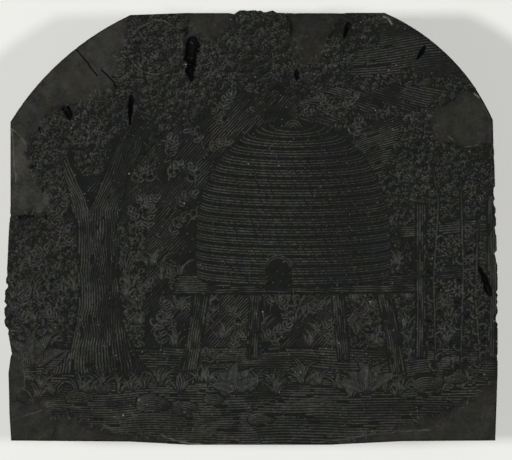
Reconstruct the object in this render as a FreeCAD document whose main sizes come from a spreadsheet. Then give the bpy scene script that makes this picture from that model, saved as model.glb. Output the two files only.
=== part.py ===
import FreeCAD
import Part
import os
import Sketcher

# A wood engraver's printing block for the letterpress, in millimetres.
# It is one slab of end-grain boxwood with a round repair plug, and card and paper pasted under its foot.
# +Z points from the foot to the printing face, and +Y to the head of the engraved picture.
# The origin is the middle of the underside.

SIZES = {
    # The whole block, from the bed of the press to the printing face
    "type_height": 23.32,
    "block_length": 84.0,
    "block_width": 74.0,
    # The upper corners, pared to the round of the log
    "left_corner_radius": 46.5,
    "right_corner_radius": 35.9,
    # Ground scraped away beside the engraved picture
    "clearing_depth": 0.35,
    # The largest cut of the gouge
    "gouge_length": 8.6,
    "gouge_width": 2.1,
    "gouge_depth": 1.9,
    # The shrinkage check, in two offset stretches
    "check_width": 0.16,
    "check_length": 5.6,
    "check_depth": 8.0,
    # The round plug, driven into a bored hole and cut level
    "plug_radius": 4.66,
    "plug_tip_radius": 4.45,
    "plug_length": 14.0,
    "plug_tip_chamfer": 0.4,
    "plug_end_gap": 0.6,
    # Sheets pasted under the foot to bring the block to height
    "card_thickness": 0.42,
    "card_inset": 0.8,
    "paper_thickness": 0.12,
    "paper_inset": 1.5,
    # How far a cut runs past the wood
    "overrun": 3.0,
}

CLEARING_SLOPE_DEGREES = 7.0
SHEET_FIRST_ROW = 1
FULL_TURN_DEGREES = 360.0
QUARTER_TURN_DEGREES = 90.0

# A scoop is the low part of a long ellipsoid whose middle stands above the face, by this share
# of its upright radius. The opening is then the second share of the ellipsoid's length and width.
SCOOP_LIFT_SHARE = 0.6
SCOOP_OPENING_SHARE = (1 - SCOOP_LIFT_SHARE**2) ** 0.5

FOOT = "(Sizes.paper_thickness + Sizes.card_thickness)"
THICKNESS = f"(Sizes.type_height - {FOOT})"

# Places are shares of the block's length and width, from the middle of the block.
# The outline starts at the lower left corner and runs anticlockwise.
# A corner that begins a rounded side names the size that is its radius.
OUTLINE_SHARES = (
    (-0.487, -0.491),
    (-0.246, -0.493),
    (-0.128, -0.5),
    (0.161, -0.5),
    (0.309, -0.492),
    (0.496, -0.491),
    (0.5, -0.334),
    (0.5, -0.119),
    (0.491, 0.248, "right_corner_radius"),
    (0.271, 0.494),
    (0.053, 0.494),
    (0.043, 0.5),
    (-0.022, 0.5),
    (-0.033, 0.494),
    (-0.124, 0.494),
    (-0.245, 0.489, "left_corner_radius"),
    (-0.488, 0.243),
    (-0.488, 0.05),
    (-0.492, -0.03),
    (-0.494, -0.085),
    (-0.5, -0.17),
    (-0.5, -0.218),
    (-0.491, -0.25),
    (-0.486, -0.285),
    (-0.492, -0.335),
    (-0.49, -0.43),
)

# Each clearing has a point on its upper edge, the direction in which its floor falls, and its plan.
# The plans run past the wood, so that each floor runs out through the block's side.
CLEARING_SHARES = {
    "left_corner_lower": (
        (-0.388, 0.271),
        120,
        (
            (-0.55, 0.23),
            (-0.455, 0.202),
            (-0.419, 0.253),
            (-0.388, 0.278),
            (-0.317, 0.301),
            (-0.274, 0.322),
            (-0.274, 0.55),
            (-0.55, 0.55),
        ),
    ),
    "left_corner_upper": (
        (-0.258, 0.398),
        160,
        (
            (-0.285, 0.313),
            (-0.266, 0.382),
            (-0.25, 0.456),
            (-0.234, 0.55),
            (-0.55, 0.55),
            (-0.55, 0.313),
        ),
    ),
    "left_strip": (
        (-0.451, 0.11),
        180,
        (
            (-0.55, 0.235),
            (-0.455, 0.202),
            (-0.449, 0.11),
            (-0.453, 0.031),
            (-0.55, 0.013),
        ),
    ),
    "top_strip": (
        (-0.079, 0.438),
        90,
        (
            (-0.128, 0.442),
            (-0.093, 0.433),
            (-0.059, 0.447),
            (-0.031, 0.463),
            (-0.024, 0.55),
            (-0.132, 0.55),
        ),
    ),
    "top_patch": (
        (0.124, 0.373),
        84,
        (
            (0.077, 0.452),
            (0.093, 0.387),
            (0.124, 0.373),
            (0.157, 0.419),
            (0.183, 0.475),
            (0.191, 0.55),
            (0.079, 0.55),
        ),
    ),
    "right_zone": (
        (0.384, 0.23),
        15,
        (
            (0.364, 0.267),
            (0.378, 0.195),
            (0.429, 0.179),
            (0.55, 0.186),
            (0.55, 0.329),
            (0.441, 0.313),
            (0.398, 0.297),
        ),
    ),
    "lower_left_foot": (
        (-0.287, -0.458),
        258,
        (
            (-0.43, -0.4),
            (-0.398, -0.428),
            (-0.287, -0.465),
            (-0.173, -0.484),
            (-0.173, -0.55),
            (-0.55, -0.55),
            (-0.55, -0.4),
        ),
    ),
    "lower_left_side": (
        (-0.449, -0.375),
        216,
        (
            (-0.55, -0.283),
            (-0.49, -0.288),
            (-0.457, -0.364),
            (-0.398, -0.428),
            (-0.398, -0.55),
            (-0.55, -0.55),
        ),
    ),
    "lower_right": (
        (0.354, -0.433),
        292,
        (
            (0.498, -0.345),
            (0.445, -0.398),
            (0.354, -0.433),
            (0.303, -0.456),
            (0.181, -0.491),
            (0.152, -0.55),
            (0.55, -0.55),
            (0.55, -0.345),
        ),
    ),
}

# Each gouge cut has its place, its direction, and its length, width and depth,
# which are shares of the largest cut's.
GOUGE_SHARES = {
    "gouge_by_plug": ((-0.122, 0.39), 88, (1.0, 1.0, 1.0)),
    "gouge_under_plug": ((-0.244, 0.267), 86, (0.54, 0.42, 0.6)),
    "gouge_left_notch": ((-0.372, 0.264), 104, (0.36, 0.7, 0.6)),
    "gouge_top_right": ((0.193, 0.453), 76, (0.38, 0.42, 0.5)),
    "gouge_top_middle": ((0.093, 0.35), 92, (0.26, 0.34, 0.4)),
    "gouge_right_corner": ((0.348, 0.405), 48, (0.34, 0.46, 0.5)),
    "gouge_left_edge": ((-0.437, 0.015), 4, (0.46, 0.42, 0.5)),
    "gouge_right_edge": ((0.474, -0.124), 290, (0.72, 0.5, 0.6)),
}

# Where each stretch of the check begins, its direction and its share of the longer stretch.
CHECK_SHARES = {
    "check_outer": ((-0.37, 0.43), 308, 1.2),
    "check_inner": ((-0.307, 0.364), 315, 0.75),
}

PLUG_SHARES = (-0.195, 0.416)

# The underlays follow the foot with straight snips, without the swells of the sides.
CARD_SHARES = (
    (-0.486, -0.491),
    (0.496, -0.491),
    (0.491, 0.248),
    (0.41, 0.385),
    (0.271, 0.494),
    (-0.245, 0.491),
    (-0.384, 0.387),
    (-0.488, 0.243),
)
# The paper has lost its lower left corner along a ragged tear.
PAPER_SHARES = (
    (-0.24, -0.491),
    (0.496, -0.491),
    (0.491, 0.248),
    (0.41, 0.385),
    (0.271, 0.494),
    (-0.245, 0.491),
    (-0.384, 0.387),
    (-0.488, 0.243),
    (-0.486, -0.21),
    (-0.44, -0.26),
    (-0.41, -0.32),
    (-0.34, -0.36),
    (-0.3, -0.43),
)


def size_sheet(doc):
    """The spreadsheet with one named cell for each driving size."""
    sheet = doc.addObject("Spreadsheet::Sheet", "Sizes")
    for row, (alias, value) in enumerate(SIZES.items(), start=SHEET_FIRST_ROW):
        sheet.set(f"A{row}", alias.replace("_", " "))
        sheet.set(f"B{row}", str(value))
        sheet.setAlias(f"B{row}", alias)
    doc.recompute()
    return sheet


def new_body(doc, name):
    """A body whose label names its sub-part."""
    body = doc.addObject("PartDesign::Body", name)
    body.Label = name
    return body


def attach_to(sketch, body, role):
    """Puts the sketch on one of its body's own origin planes."""
    plane = next(item for item in body.Origin.OriginFeatures if item.Role == role)
    sketch.AttachmentSupport = (plane, [""])
    sketch.MapMode = "FlatFace"


def share_of(cell, share):
    """A length written as a share of a named size."""
    return f"Sizes.{cell} * {share}"


# A sketch's coordinate is a sum of terms, and each term is a named size with the share of it to take.
ZERO = ()


def written(terms):
    """The expression of a coordinate."""
    return " + ".join(share_of(cell, share) for cell, share in terms) or "0"


def measured(terms):
    """The same coordinate in millimetres, for the first drawing of a sketch."""
    return sum(SIZES[cell] * share for cell, share in terms)


def plan_point(across, along):
    """A point of the plan, from its shares of the block's length and width."""
    return (("block_length", across),), (("block_width", along),)


def point_from(origin, across, along):
    """The same, measured from an origin that is given in shares too."""
    return (
        (("block_length", across), ("block_length", -origin[0])),
        (("block_width", along), ("block_width", -origin[1])),
    )


def pulled_in(cell, share, inset):
    """A coordinate that is a share of a named size, brought towards the middle by another size."""
    inward = -1 if share > 0 else 1
    return (cell, share), (inset, inward)


def arc_between(start, end, radius):
    """The shallow arc of this radius that bulges to the right of the way from start to end."""
    chord = end - start
    middle = start + chord * 0.5
    normal = FreeCAD.Vector(-chord.y, chord.x, 0).normalize()
    centre = middle + normal * (radius**2 - (chord.Length / 2) ** 2) ** 0.5
    crown = centre - normal * radius
    return Part.Arc(start, crown, end)


def closed_profile(sketch, corners, arcs=None):
    """Draws a closed outline through corners that are pairs of coordinates.

    arcs gives, for the number of a side's first corner, the name of the size that is its radius.
    """
    arcs = arcs or {}
    points = [FreeCAD.Vector(measured(across), measured(along), 0) for across, along in corners]
    sides = len(points)
    for number, start in enumerate(points):
        end = points[(number + 1) % sides]
        if number in arcs:
            sketch.addGeometry(arc_between(start, end, SIZES[arcs[number]]), False)
        else:
            sketch.addGeometry(Part.LineSegment(start, end), False)
    ends = [matching_ends(sketch, number, points[number]) for number in range(sides)]
    for number in range(sides):
        following = (number + 1) % sides
        joined = Sketcher.Constraint("Coincident", number, ends[number][1], following, ends[following][0])
        sketch.addConstraint(joined)
    for number, (across, along) in enumerate(corners):
        bind_coordinate(sketch, "DistanceX", number, ends[number][0], across)
        bind_coordinate(sketch, "DistanceY", number, ends[number][0], along)
    for number, radius in arcs.items():
        index = sketch.addConstraint(Sketcher.Constraint("Radius", number, SIZES[radius]))
        sketch.setExpression(f"Constraints[{index}]", f"Sizes.{radius}")


def matching_ends(sketch, number, start):
    """Which of a side's two ends is its first corner, and which its second."""
    side = sketch.Geometry[number]
    if side.StartPoint.distanceToPoint(start) < side.EndPoint.distanceToPoint(start):
        return 1, 2
    return 2, 1


def bind_coordinate(sketch, kind, number, end, terms):
    """Holds one coordinate of a side's end at a sum of shares of named sizes."""
    index = sketch.addConstraint(Sketcher.Constraint(kind, number, end, measured(terms)))
    sketch.setExpression(f"Constraints[{index}]", written(terms))


def sloping_plane(sketch, hinge, fall_degrees):
    """Tilts the sketch's plane about the hinge point so that it falls in that direction."""
    fall_turn = FreeCAD.Rotation(FreeCAD.Vector(0, 0, 1), fall_degrees)
    hinge_axis = fall_turn.multVec(FreeCAD.Vector(0, 1, 0))
    tilt = FreeCAD.Rotation(hinge_axis, CLEARING_SLOPE_DEGREES)
    sketch.AttachmentOffset = FreeCAD.Placement(FreeCAD.Vector(), tilt)
    sketch.setExpression("AttachmentOffset.Base.x", share_of("block_length", hinge[0]))
    sketch.setExpression("AttachmentOffset.Base.y", share_of("block_width", hinge[1]))
    sketch.setExpression("AttachmentOffset.Base.z", f"{THICKNESS} - Sizes.clearing_depth")


def cut_clearing(doc, body, name, hinge, fall_degrees, plan):
    """Scrapes away the ground over a plan, down to a floor that falls towards the block's edge."""
    sketch = body.newObject("Sketcher::SketchObject", f"{name}_plan")
    attach_to(sketch, body, "XY_Plane")
    sloping_plane(sketch, hinge, fall_degrees)
    closed_profile(sketch, [point_from(hinge, across, along) for across, along in plan])
    pocket = body.newObject("PartDesign::Pocket", name)
    pocket.Profile = sketch
    pocket.Type = "ThroughAll"
    pocket.Reversed = True
    doc.recompute()


def place_in_face(feature, place, height, turn_degrees, own_tilt=FreeCAD.Rotation()):
    """Puts a cutting form, tilted or upright, at a place in the plan, turned about the vertical."""
    turn = FreeCAD.Rotation(FreeCAD.Vector(0, 0, 1), turn_degrees)
    feature.Placement = FreeCAD.Placement(FreeCAD.Vector(), turn * own_tilt)
    feature.setExpression("Placement.Base.x", share_of("block_length", place[0]))
    feature.setExpression("Placement.Base.y", share_of("block_width", place[1]))
    feature.setExpression("Placement.Base.z", height)


def cut_gouge(doc, body, name, place, direction, proportions):
    """One scoop of the gouge, the low part of an ellipsoid that lies along the cut."""
    length_share, width_share, depth_share = proportions
    upright_radius = f"{share_of('gouge_depth', depth_share)} / (1 - {SCOOP_LIFT_SHARE})"
    openings = f"(2 * {SCOOP_OPENING_SHARE})"
    scoop = body.newObject("PartDesign::SubtractiveEllipsoid", name)
    scoop.setExpression("Radius1", f"{share_of('gouge_length', length_share)} / {openings}")
    scoop.setExpression("Radius2", upright_radius)
    scoop.setExpression("Radius3", f"{share_of('gouge_width', width_share)} / {openings}")
    laid_along = FreeCAD.Rotation(FreeCAD.Vector(0, 1, 0), -QUARTER_TURN_DEGREES)
    middle = f"{THICKNESS} + {SCOOP_LIFT_SHARE} * {upright_radius}"
    place_in_face(scoop, place, middle, direction, laid_along)
    doc.recompute()


def cut_check(doc, body, name, place, direction, length_share):
    """One stretch of the shrinkage check, a thin split that opens in the face."""
    split = body.newObject("PartDesign::SubtractiveBox", name)
    split.setExpression("Length", share_of("check_length", length_share))
    split.setExpression("Width", "Sizes.check_width")
    split.setExpression("Height", "Sizes.check_depth + Sizes.overrun")
    place_in_face(split, place, f"{THICKNESS} - Sizes.check_depth", direction)
    doc.recompute()


def bore_for_plug(doc, body):
    """The tapered hole that the plug fills, with a little room under the plug's end."""
    taper = body.newObject("PartDesign::SubtractiveCone", "plug_bore")
    taper.setExpression("Radius1", "Sizes.plug_tip_radius")
    taper.setExpression("Radius2", "Sizes.plug_radius")
    taper.setExpression("Height", "Sizes.plug_length - Sizes.plug_tip_chamfer")
    taper_foot = f"{THICKNESS} - Sizes.plug_length + Sizes.plug_tip_chamfer"
    place_in_face(taper, PLUG_SHARES, taper_foot, 0)
    doc.recompute()
    end = body.newObject("PartDesign::SubtractiveCylinder", "plug_bore_end")
    end.setExpression("Radius", "Sizes.plug_tip_radius")
    end.setExpression("Height", "Sizes.plug_tip_chamfer + Sizes.plug_end_gap")
    place_in_face(end, PLUG_SHARES, f"{THICKNESS} - Sizes.plug_length - Sizes.plug_end_gap", 0)
    doc.recompute()


def boxwood_block(doc):
    """The slab, with its pared corners, scraped ground, gouge cuts, check and bored hole."""
    body = new_body(doc, "boxwood_block")
    sketch = body.newObject("Sketcher::SketchObject", "block_outline")
    attach_to(sketch, body, "XY_Plane")
    corners = [plan_point(corner[0], corner[1]) for corner in OUTLINE_SHARES]
    arcs = {
        number: corner[2]
        for number, corner in enumerate(OUTLINE_SHARES)
        if len(corner) > len(corners[number])
    }
    closed_profile(sketch, corners, arcs)
    slab = body.newObject("PartDesign::Pad", "slab")
    slab.Profile = sketch
    slab.setExpression("Length", THICKNESS)
    doc.recompute()
    for name, (hinge, fall_degrees, plan) in CLEARING_SHARES.items():
        cut_clearing(doc, body, name, hinge, fall_degrees, plan)
    for name, (place, direction, proportions) in GOUGE_SHARES.items():
        cut_gouge(doc, body, name, place, direction, proportions)
    for name, (place, direction, length_share) in CHECK_SHARES.items():
        cut_check(doc, body, name, place, direction, length_share)
    bore_for_plug(doc, body)
    body.setExpression("Placement.Base.z", FOOT)
    return body


def repair_plug(doc):
    """The tapered plug, turned about its own axis, with a small chamfer on its driven end."""
    body = new_body(doc, "repair_plug")
    sketch = body.newObject("Sketcher::SketchObject", "plug_half_section")
    attach_to(sketch, body, "XZ_Plane")
    tip_edge = (("plug_tip_radius", 1), ("plug_tip_chamfer", -1))
    tip_radius = (("plug_tip_radius", 1),)
    chamfer_top = (("plug_tip_chamfer", 1),)
    face_radius = (("plug_radius", 1),)
    face_level = (("plug_length", 1),)
    corners = [
        (ZERO, ZERO),
        (tip_edge, ZERO),
        (tip_radius, chamfer_top),
        (face_radius, face_level),
        (ZERO, face_level),
    ]
    closed_profile(sketch, corners)
    turned = body.newObject("PartDesign::Revolution", "turned_plug")
    turned.Profile = sketch
    turned.ReferenceAxis = (sketch, ["V_Axis"])
    turned.Angle = FULL_TURN_DEGREES
    body.setExpression("Placement.Base.x", share_of("block_length", PLUG_SHARES[0]))
    body.setExpression("Placement.Base.y", share_of("block_width", PLUG_SHARES[1]))
    body.setExpression("Placement.Base.z", "Sizes.type_height - Sizes.plug_length")
    doc.recompute()
    return body


def underlay(doc, name, shares, inset, thickness, height):
    """One pasted sheet, cut a little inside the block's foot."""
    body = new_body(doc, name)
    sketch = body.newObject("Sketcher::SketchObject", f"{name}_outline")
    attach_to(sketch, body, "XY_Plane")
    corners = [
        (pulled_in("block_length", across, inset), pulled_in("block_width", along, inset))
        for across, along in shares
    ]
    closed_profile(sketch, corners)
    sheet = body.newObject("PartDesign::Pad", f"{name}_sheet")
    sheet.Profile = sketch
    sheet.setExpression("Length", f"Sizes.{thickness}")
    body.setExpression("Placement.Base.z", height)
    doc.recompute()
    return body


def card_underlay(doc):
    """The card pasted to the foot of the block."""
    height = "Sizes.paper_thickness"
    return underlay(doc, "card_underlay", CARD_SHARES, "card_inset", "card_thickness", height)


def paper_underlay(doc):
    """The thin paper pasted over the card, which the block stands on."""
    return underlay(doc, "paper_underlay", PAPER_SHARES, "paper_inset", "paper_thickness", "0")


def sub_parts(doc):
    """Every sub-part of the block."""
    return [
        boxwood_block(doc),
        repair_plug(doc),
        card_underlay(doc),
        paper_underlay(doc),
    ]


def checked(doc, parts):
    """Stops the script if a feature failed or a sub-part has no sound shape."""
    for item in doc.Objects:
        if "Invalid" in item.State or "Error" in item.State:
            raise RuntimeError(f"{item.Name} failed: {item.State}")
    for part in parts:
        if part.Shape.isNull() or not part.Shape.isValid():
            raise RuntimeError(f"{part.Label} has no valid shape")
        if len(part.Shape.Solids) != 1:
            raise RuntimeError(f"{part.Label} has {len(part.Shape.Solids)} solids")


def write_parts(parts):
    """Writes each sub-part's shape to a file of its own name."""
    os.makedirs("parts", exist_ok=True)
    for part in parts:
        part.Shape.exportStep(f"parts/{part.Label}.step")
        box = part.Shape.BoundBox
        size = f"{box.XLength:.2f} by {box.YLength:.2f} by {box.ZLength:.2f} mm"
        print(f"{part.Label}: {part.Shape.Volume:.1f} mm3 in a box of {size}")


def main():
    doc = FreeCAD.newDocument("PrintingBlock")
    size_sheet(doc)
    parts = sub_parts(doc)
    doc.recompute()
    checked(doc, parts)
    write_parts(parts)


main()
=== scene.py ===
import math

import bpy
import numpy as np
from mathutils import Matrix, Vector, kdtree


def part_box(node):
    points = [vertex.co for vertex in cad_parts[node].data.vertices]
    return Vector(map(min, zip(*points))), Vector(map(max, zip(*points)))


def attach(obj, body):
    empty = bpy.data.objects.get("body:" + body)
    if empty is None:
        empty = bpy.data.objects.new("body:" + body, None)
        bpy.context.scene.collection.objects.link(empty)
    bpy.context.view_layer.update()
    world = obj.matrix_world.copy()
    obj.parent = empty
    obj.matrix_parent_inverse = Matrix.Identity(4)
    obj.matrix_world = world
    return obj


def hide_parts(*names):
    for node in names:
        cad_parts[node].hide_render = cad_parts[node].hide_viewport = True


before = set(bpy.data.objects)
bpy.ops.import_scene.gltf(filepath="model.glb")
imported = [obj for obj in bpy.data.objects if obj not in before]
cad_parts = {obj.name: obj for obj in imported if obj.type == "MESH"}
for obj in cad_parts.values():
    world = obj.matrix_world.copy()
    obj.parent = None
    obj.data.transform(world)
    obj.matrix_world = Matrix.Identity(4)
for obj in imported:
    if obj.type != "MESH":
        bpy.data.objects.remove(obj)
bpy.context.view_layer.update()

# An engraved boxwood block for the letterpress, worked out in millimetres and made in metres.
# The face is one fine lattice of points. Every cut of the graver lowers the points under it.

MM = 0.001
SEED = 1807

# The lattice, and the walls that hang from its rims
PITCH = 0.1
RIM_STEP = 0.04
LEAST_RIM_GAP = 0.03
WALL_RINGS = 26
SPARE_CELLS = 2
LEVEL_TOLERANCE = 0.01
OWN_WEIGHT = 2

# What a graver does
CUT_DEPTH_SHARE = 0.95
POINTED_SHARE = 0.3
SAMPLE_STEP = 0.07
LEAST_STROKE = 0.02
HAND_WOBBLE = 0.035
LINES_APART = 9.0
BREAK_ABOVE = 0.72
LEAST_REACH = 0.045
LAND_CELLS = 2
LEAST_SAMPLES = 4
BOWED_SHARE = 1.1
RULED_SPARE = 2
BREAK_SPAN = 0.08
HAND_WIDTH_SHARE = 0.9
HAND_SWELL_SHARE = 0.28

# Ground scraped away beside the picture
CLEARING_DEPTH = 0.35
CLEARING_SLOPE_DEGREES = 7.0
SCRAPE_MARK = 0.14
FIBRE_MARK = 0.05
NICK_DEPTH = 0.7
EDGE_BLUR = 6
EDGE_BAND = 6
SCRATCH_LIGHT = 0.055
STRIP_END = -37.5
# Strength of the painted highlight round the plug's seam
SEAM_LIGHT = 0.32
SEAM_LIGHT_HALF = 0.085
SPECKS = 2200
SPECK_REACH = 0.1
SPECK_LEAST = 0.22
SPECK_RISE = 0.25

# The largest scoop of the gouge
GOUGE_LENGTH = 8.6
GOUGE_WIDTH = 2.1
GOUGE_DEPTH = 1.9
SCOOP_LIFT_SHARE = 0.6

# The shrinkage check
CHECK_LENGTH = 5.6
CHECK_OPENING = 0.125
CHECK_SHOWN_DEPTH = 1.6


def node_box(node):
    """A CAD node's lowest and highest corners in millimetres."""
    low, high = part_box(node)
    return np.array(low) / MM, np.array(high) / MM


BLOCK_LOW, BLOCK_HIGH = node_box("boxwood_block")
PLUG_LOW, PLUG_HIGH = node_box("repair_plug")
LENGTH, WIDTH = (BLOCK_HIGH - BLOCK_LOW)[:2]
FACE_LEVEL = BLOCK_HIGH[2]
FOOT_LEVEL = BLOCK_LOW[2]
PLUG_MIDDLE = (PLUG_LOW + PLUG_HIGH)[:2] / 2
PLUG_RADIUS = (PLUG_HIGH - PLUG_LOW)[0] / 2
PLUG_DEPTH = FACE_LEVEL - PLUG_LOW[2]
PLUG_TIP_RADIUS = 4.45
PLUG_TIP_CHAMFER = 0.4
PLUG_END_GAP = 0.6

# Places are shares of the block's length and width, from its middle.
# Scraped ground: the hinge that its floor falls from, the way down in degrees, and its outline.
CLEARING_SHARES = (
    ((-0.388, 0.271), 120, ((-0.55, 0.23), (-0.455, 0.202), (-0.419, 0.253), (-0.388, 0.278),
                            (-0.317, 0.301), (-0.274, 0.322), (-0.274, 0.55), (-0.55, 0.55))),
    ((-0.258, 0.398), 160, ((-0.285, 0.313), (-0.266, 0.382), (-0.25, 0.456), (-0.234, 0.55),
                            (-0.55, 0.55), (-0.55, 0.313))),
    ((-0.451, 0.11), 180, ((-0.55, 0.235), (-0.455, 0.202), (-0.456, 0.165), (-0.446, 0.14), (-0.444, 0.115),
                            (-0.43, 0.095), (-0.414, 0.083), (-0.411, 0.05), (-0.418, 0.034), (-0.47, 0.032),
                            (-0.484, 0.022), (-0.55, 0.02))),
    ((-0.079, 0.438), 90, ((-0.128, 0.442), (-0.093, 0.433), (-0.059, 0.447), (-0.031, 0.463),
                           (-0.024, 0.55), (-0.132, 0.55))),
    ((0.124, 0.373), 84, ((0.077, 0.452), (0.093, 0.387), (0.124, 0.373), (0.157, 0.419),
                          (0.183, 0.475), (0.191, 0.55), (0.079, 0.55))),
    ((0.384, 0.23), 15, ((0.364, 0.267), (0.378, 0.195), (0.429, 0.179), (0.55, 0.186),
                         (0.55, 0.329), (0.441, 0.313), (0.398, 0.297))),
    ((-0.287, -0.458), 258, ((-0.43, -0.4), (-0.398, -0.428), (-0.287, -0.465), (-0.173, -0.484),
                             (-0.173, -0.55), (-0.55, -0.55), (-0.55, -0.4))),
    ((-0.449, -0.375), 216, ((-0.55, -0.272), (-0.482, -0.277), (-0.46, -0.318), (-0.458, -0.374),
                             (-0.432, -0.402), (-0.398, -0.428),
                             (-0.398, -0.55), (-0.55, -0.55))),
    ((0.354, -0.433), 292, ((0.498, -0.345), (0.445, -0.398), (0.354, -0.433), (0.303, -0.456),
                            (0.181, -0.491), (0.152, -0.55), (0.55, -0.55), (0.55, -0.345))),
)
# How far the ink has been scraped off each of them, and how much painted sheen lies on it
CLEANED_SHARES = (
    (1.0, 0.019), (1.0, 0.022), (1.0, 0.058), (0.74, 0.0), (0.62, 0.0), (1.0, 0.0), (0.96, 0.0), (0.97, 0.0),
    (0.98, 0.0),
)
# Grime with painted shade darkens the scraped floor near the picture, spread over this many cells
GRIME_AND_SHADE = 0.55
GRIME_AND_SHADE_CELLS = 18
CLEARING_BLUR = 26
FADED_OUT = 0.5

# Each scoop of the gouge: its place and direction, its length, width and depth as shares, and how
# far its sides are torn.
GOUGE_SHARES = (
    ((-0.122, 0.39), 88, (1.0, 0.9, 1.0), 0.35),
    ((-0.244, 0.27), 88, (0.66, 0.34, 0.6), 0.3),
    ((-0.372, 0.264), 104, (0.34, 0.6, 0.6), 0.4),
    ((0.193, 0.453), 76, (0.38, 0.34, 0.5), 0.3),
    ((0.093, 0.35), 92, (0.26, 0.34, 0.4), 0.3),
    ((0.344, 0.402), 56, (0.36, 0.3, 0.5), 0.3),
    ((-0.457, 0.026), 3, (0.36, 0.12, 0.3), 0.5),
    ((0.474, -0.124), 290, (0.72, 0.5, 0.6), 0.3),
)

# The two stretches of the check: where each starts, its direction, its share of the length, and
# how far it gapes at its start.
CHECK_SHARES = (
    ((-0.358, 0.415), 308, 1.1, 0.9),
    ((-0.304, 0.363), 314, 0.68, 0.0),
)

# Scratches and rubbed edges that show lighter wood, and painted highlights where edges and the plug's seam
# catch the light: points, width in millimetres, strength, and how broken the line is.
WEAR_AND_HIGHLIGHT_SHARES = (
    (((-0.486, 0.227), (-0.482, 0.19), (-0.48, 0.144), (-0.476, 0.105)), 0.26, 0.3, 0.4),
    (((-0.484, 0.226), (-0.47, 0.212), (-0.462, 0.199), (-0.458, 0.192)), 0.2, 0.24, 0.6),
    (((-0.183, -0.475), (-0.169, -0.485), (-0.148, -0.492), (-0.124, -0.497), (-0.094, -0.499)),
     0.24, 0.36, 0.5),
    (((0.14, -0.494), (0.191, -0.487), (0.242, -0.477), (0.293, -0.47), (0.364, -0.465)), 0.3, 0.15, 0.6),
    (((-0.486, -0.444), (-0.468, -0.437), (-0.45, -0.43), (-0.424, -0.42)), 0.16, 0.15, 0.8),
    (((-0.243, 0.438), (-0.235, 0.452), (-0.222, 0.464), (-0.205, 0.472)), 0.2, 0.2, 0.6),
    (((-0.46, -0.316), (-0.46, -0.345), (-0.458, -0.375), (-0.432, -0.401), (-0.392, -0.43)),
     0.14, 0.12, 2.6),
    (((0.47, 0.287), (0.483, 0.253), (0.486, 0.2), (0.487, 0.1)), 0.14, 0.07, 2.2),
    (((0.419, 0.364), (0.424, 0.357), (0.43, 0.349)), 0.2, 0.24, 1.6),
    (((0.478, 0.278), (0.481, 0.272), (0.483, 0.266)), 0.16, 0.26, 1.2),
    (((0.4, 0.21), (0.43, 0.186), (0.47, 0.19)), 0.24, 0.16, 1.4),
    (((0.268, 0.486), (0.276, 0.481), (0.286, 0.468)), 0.4, 0.5, 0.6),
    (((0.451, 0.312), (0.455, 0.306), (0.463, 0.3)), 0.24, 0.55, 1.2),
)

# The torn fringe below the scraped strip at the left
FRINGE_SHARES = ((-0.477, 0.026), (-0.412, 0.03))
FRINGE_TEETH = 8
FRINGE_LENGTH = 1.4
FRINGE_WIDTH = 0.24
FRINGE_LEAN = 0.2


def placed(shares):
    """Points that are given as shares of the block's length and width, in millimetres."""
    return np.array(shares, float) * (LENGTH, WIDTH)


NOISE_CELLS = 256


def noise(x, y, size, seed):
    """Smooth random values from -1 to 1 at any points, with hills about this size apart."""
    table = np.random.default_rng(SEED + seed).uniform(-1, 1, (NOISE_CELLS, NOISE_CELLS))
    column, row = np.floor(x / size).astype(int), np.floor(y / size).astype(int)
    across, along = x / size - column, y / size - row
    across, along = across**2 * (3 - 2 * across), along**2 * (3 - 2 * along)

    def corner(right, up):
        return table[(row + up) % NOISE_CELLS, (column + right) % NOISE_CELLS]

    lower = corner(0, 0) * (1 - across) + corner(1, 0) * across
    upper = corner(0, 1) * (1 - across) + corner(1, 1) * across
    return lower * (1 - along) + upper * along


# The unevenness of hand and wood: how far apart its hills are in millimetres, and its seed
UNEVEN = {
    "line_swell": (0.8, 11),
    "board_line": (0.5, 12),
    "board_bend": (2.5, 13),
    "line_breaks": (2.6, 14),
    "line_wobble": (0.7, 15),
    "stitch_drift": (0.9, 17),
    "strand_line": (0.5, 18),
    "stone_line": (0.8, 19),
    "bark_bend": (2.6, 21),
    "bark_line": (0.9, 22),
    "bark_patches": (3.0, 23),
    "bark_wobble": (0.9, 24),
    "canopy_masses": (5.5, 42),
    "canopy_clumps": (2.6, 43),
    "thicket_gaps": (9.0, 44),
    "left_leaves": (4.0, 49),
    "hedge_top": (1.4, 50),
    "hedge_leaves": (3.4, 51),
    "crown_leaves": (3.2, 55),
    "sky_tone": (7.0, 56),
    "hedgerow_top": (2.2, 57),
    "hedgerow_leaves": (2.4, 72),
    "floor_ripple": (0.9, 100),
    "floor_swell": (3.5, 101),
    "fibre": (0.3, 102),
    "fibre_patches": (1.7, 103),
    "scrape_facets": (2.4, 110),
    "scrape_tone": (1.3, 115),
    "grime_and_shade": (1.0, 116),
    "painted_sheen": (1.5, 117),
    "painted_sheen_specks": (0.4, 118),
    "scoop_side": (1.2, 120),
    "scoop_fibres": (0.5, 130),
    "check_wobble": (0.7, 140),
    "scoop_teeth": (0.4, 145),
    "pale_line_gaps": (0.9, 150),
    "pale_line_wobble": (0.8, 151),
    "scratch_turn": (12.0, 152),
    "seam_wobble": (0.2, 153),
    "seam_glint": (0.25, 154),
    "bites": (1.1, 160),
    "small_bites": (0.55, 161),
    "tool_marks": (1.1, 170),
    "dents": (2.6, 171),
    "handling": (2.2, 172),
    "foot_wear": (3.0, 173),
}


def uneven(name, x, y, step=0):
    """A named unevenness at any points, from -1 to 1. The step picks another of its kind."""
    size, seed = UNEVEN[name]
    return noise(x, y, size, seed + step)


def eased(share):
    """Takes 0 to 0 and 1 to 1, level at both ends."""
    share = np.clip(share, 0, 1)
    return share * share * (3 - 2 * share)


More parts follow.
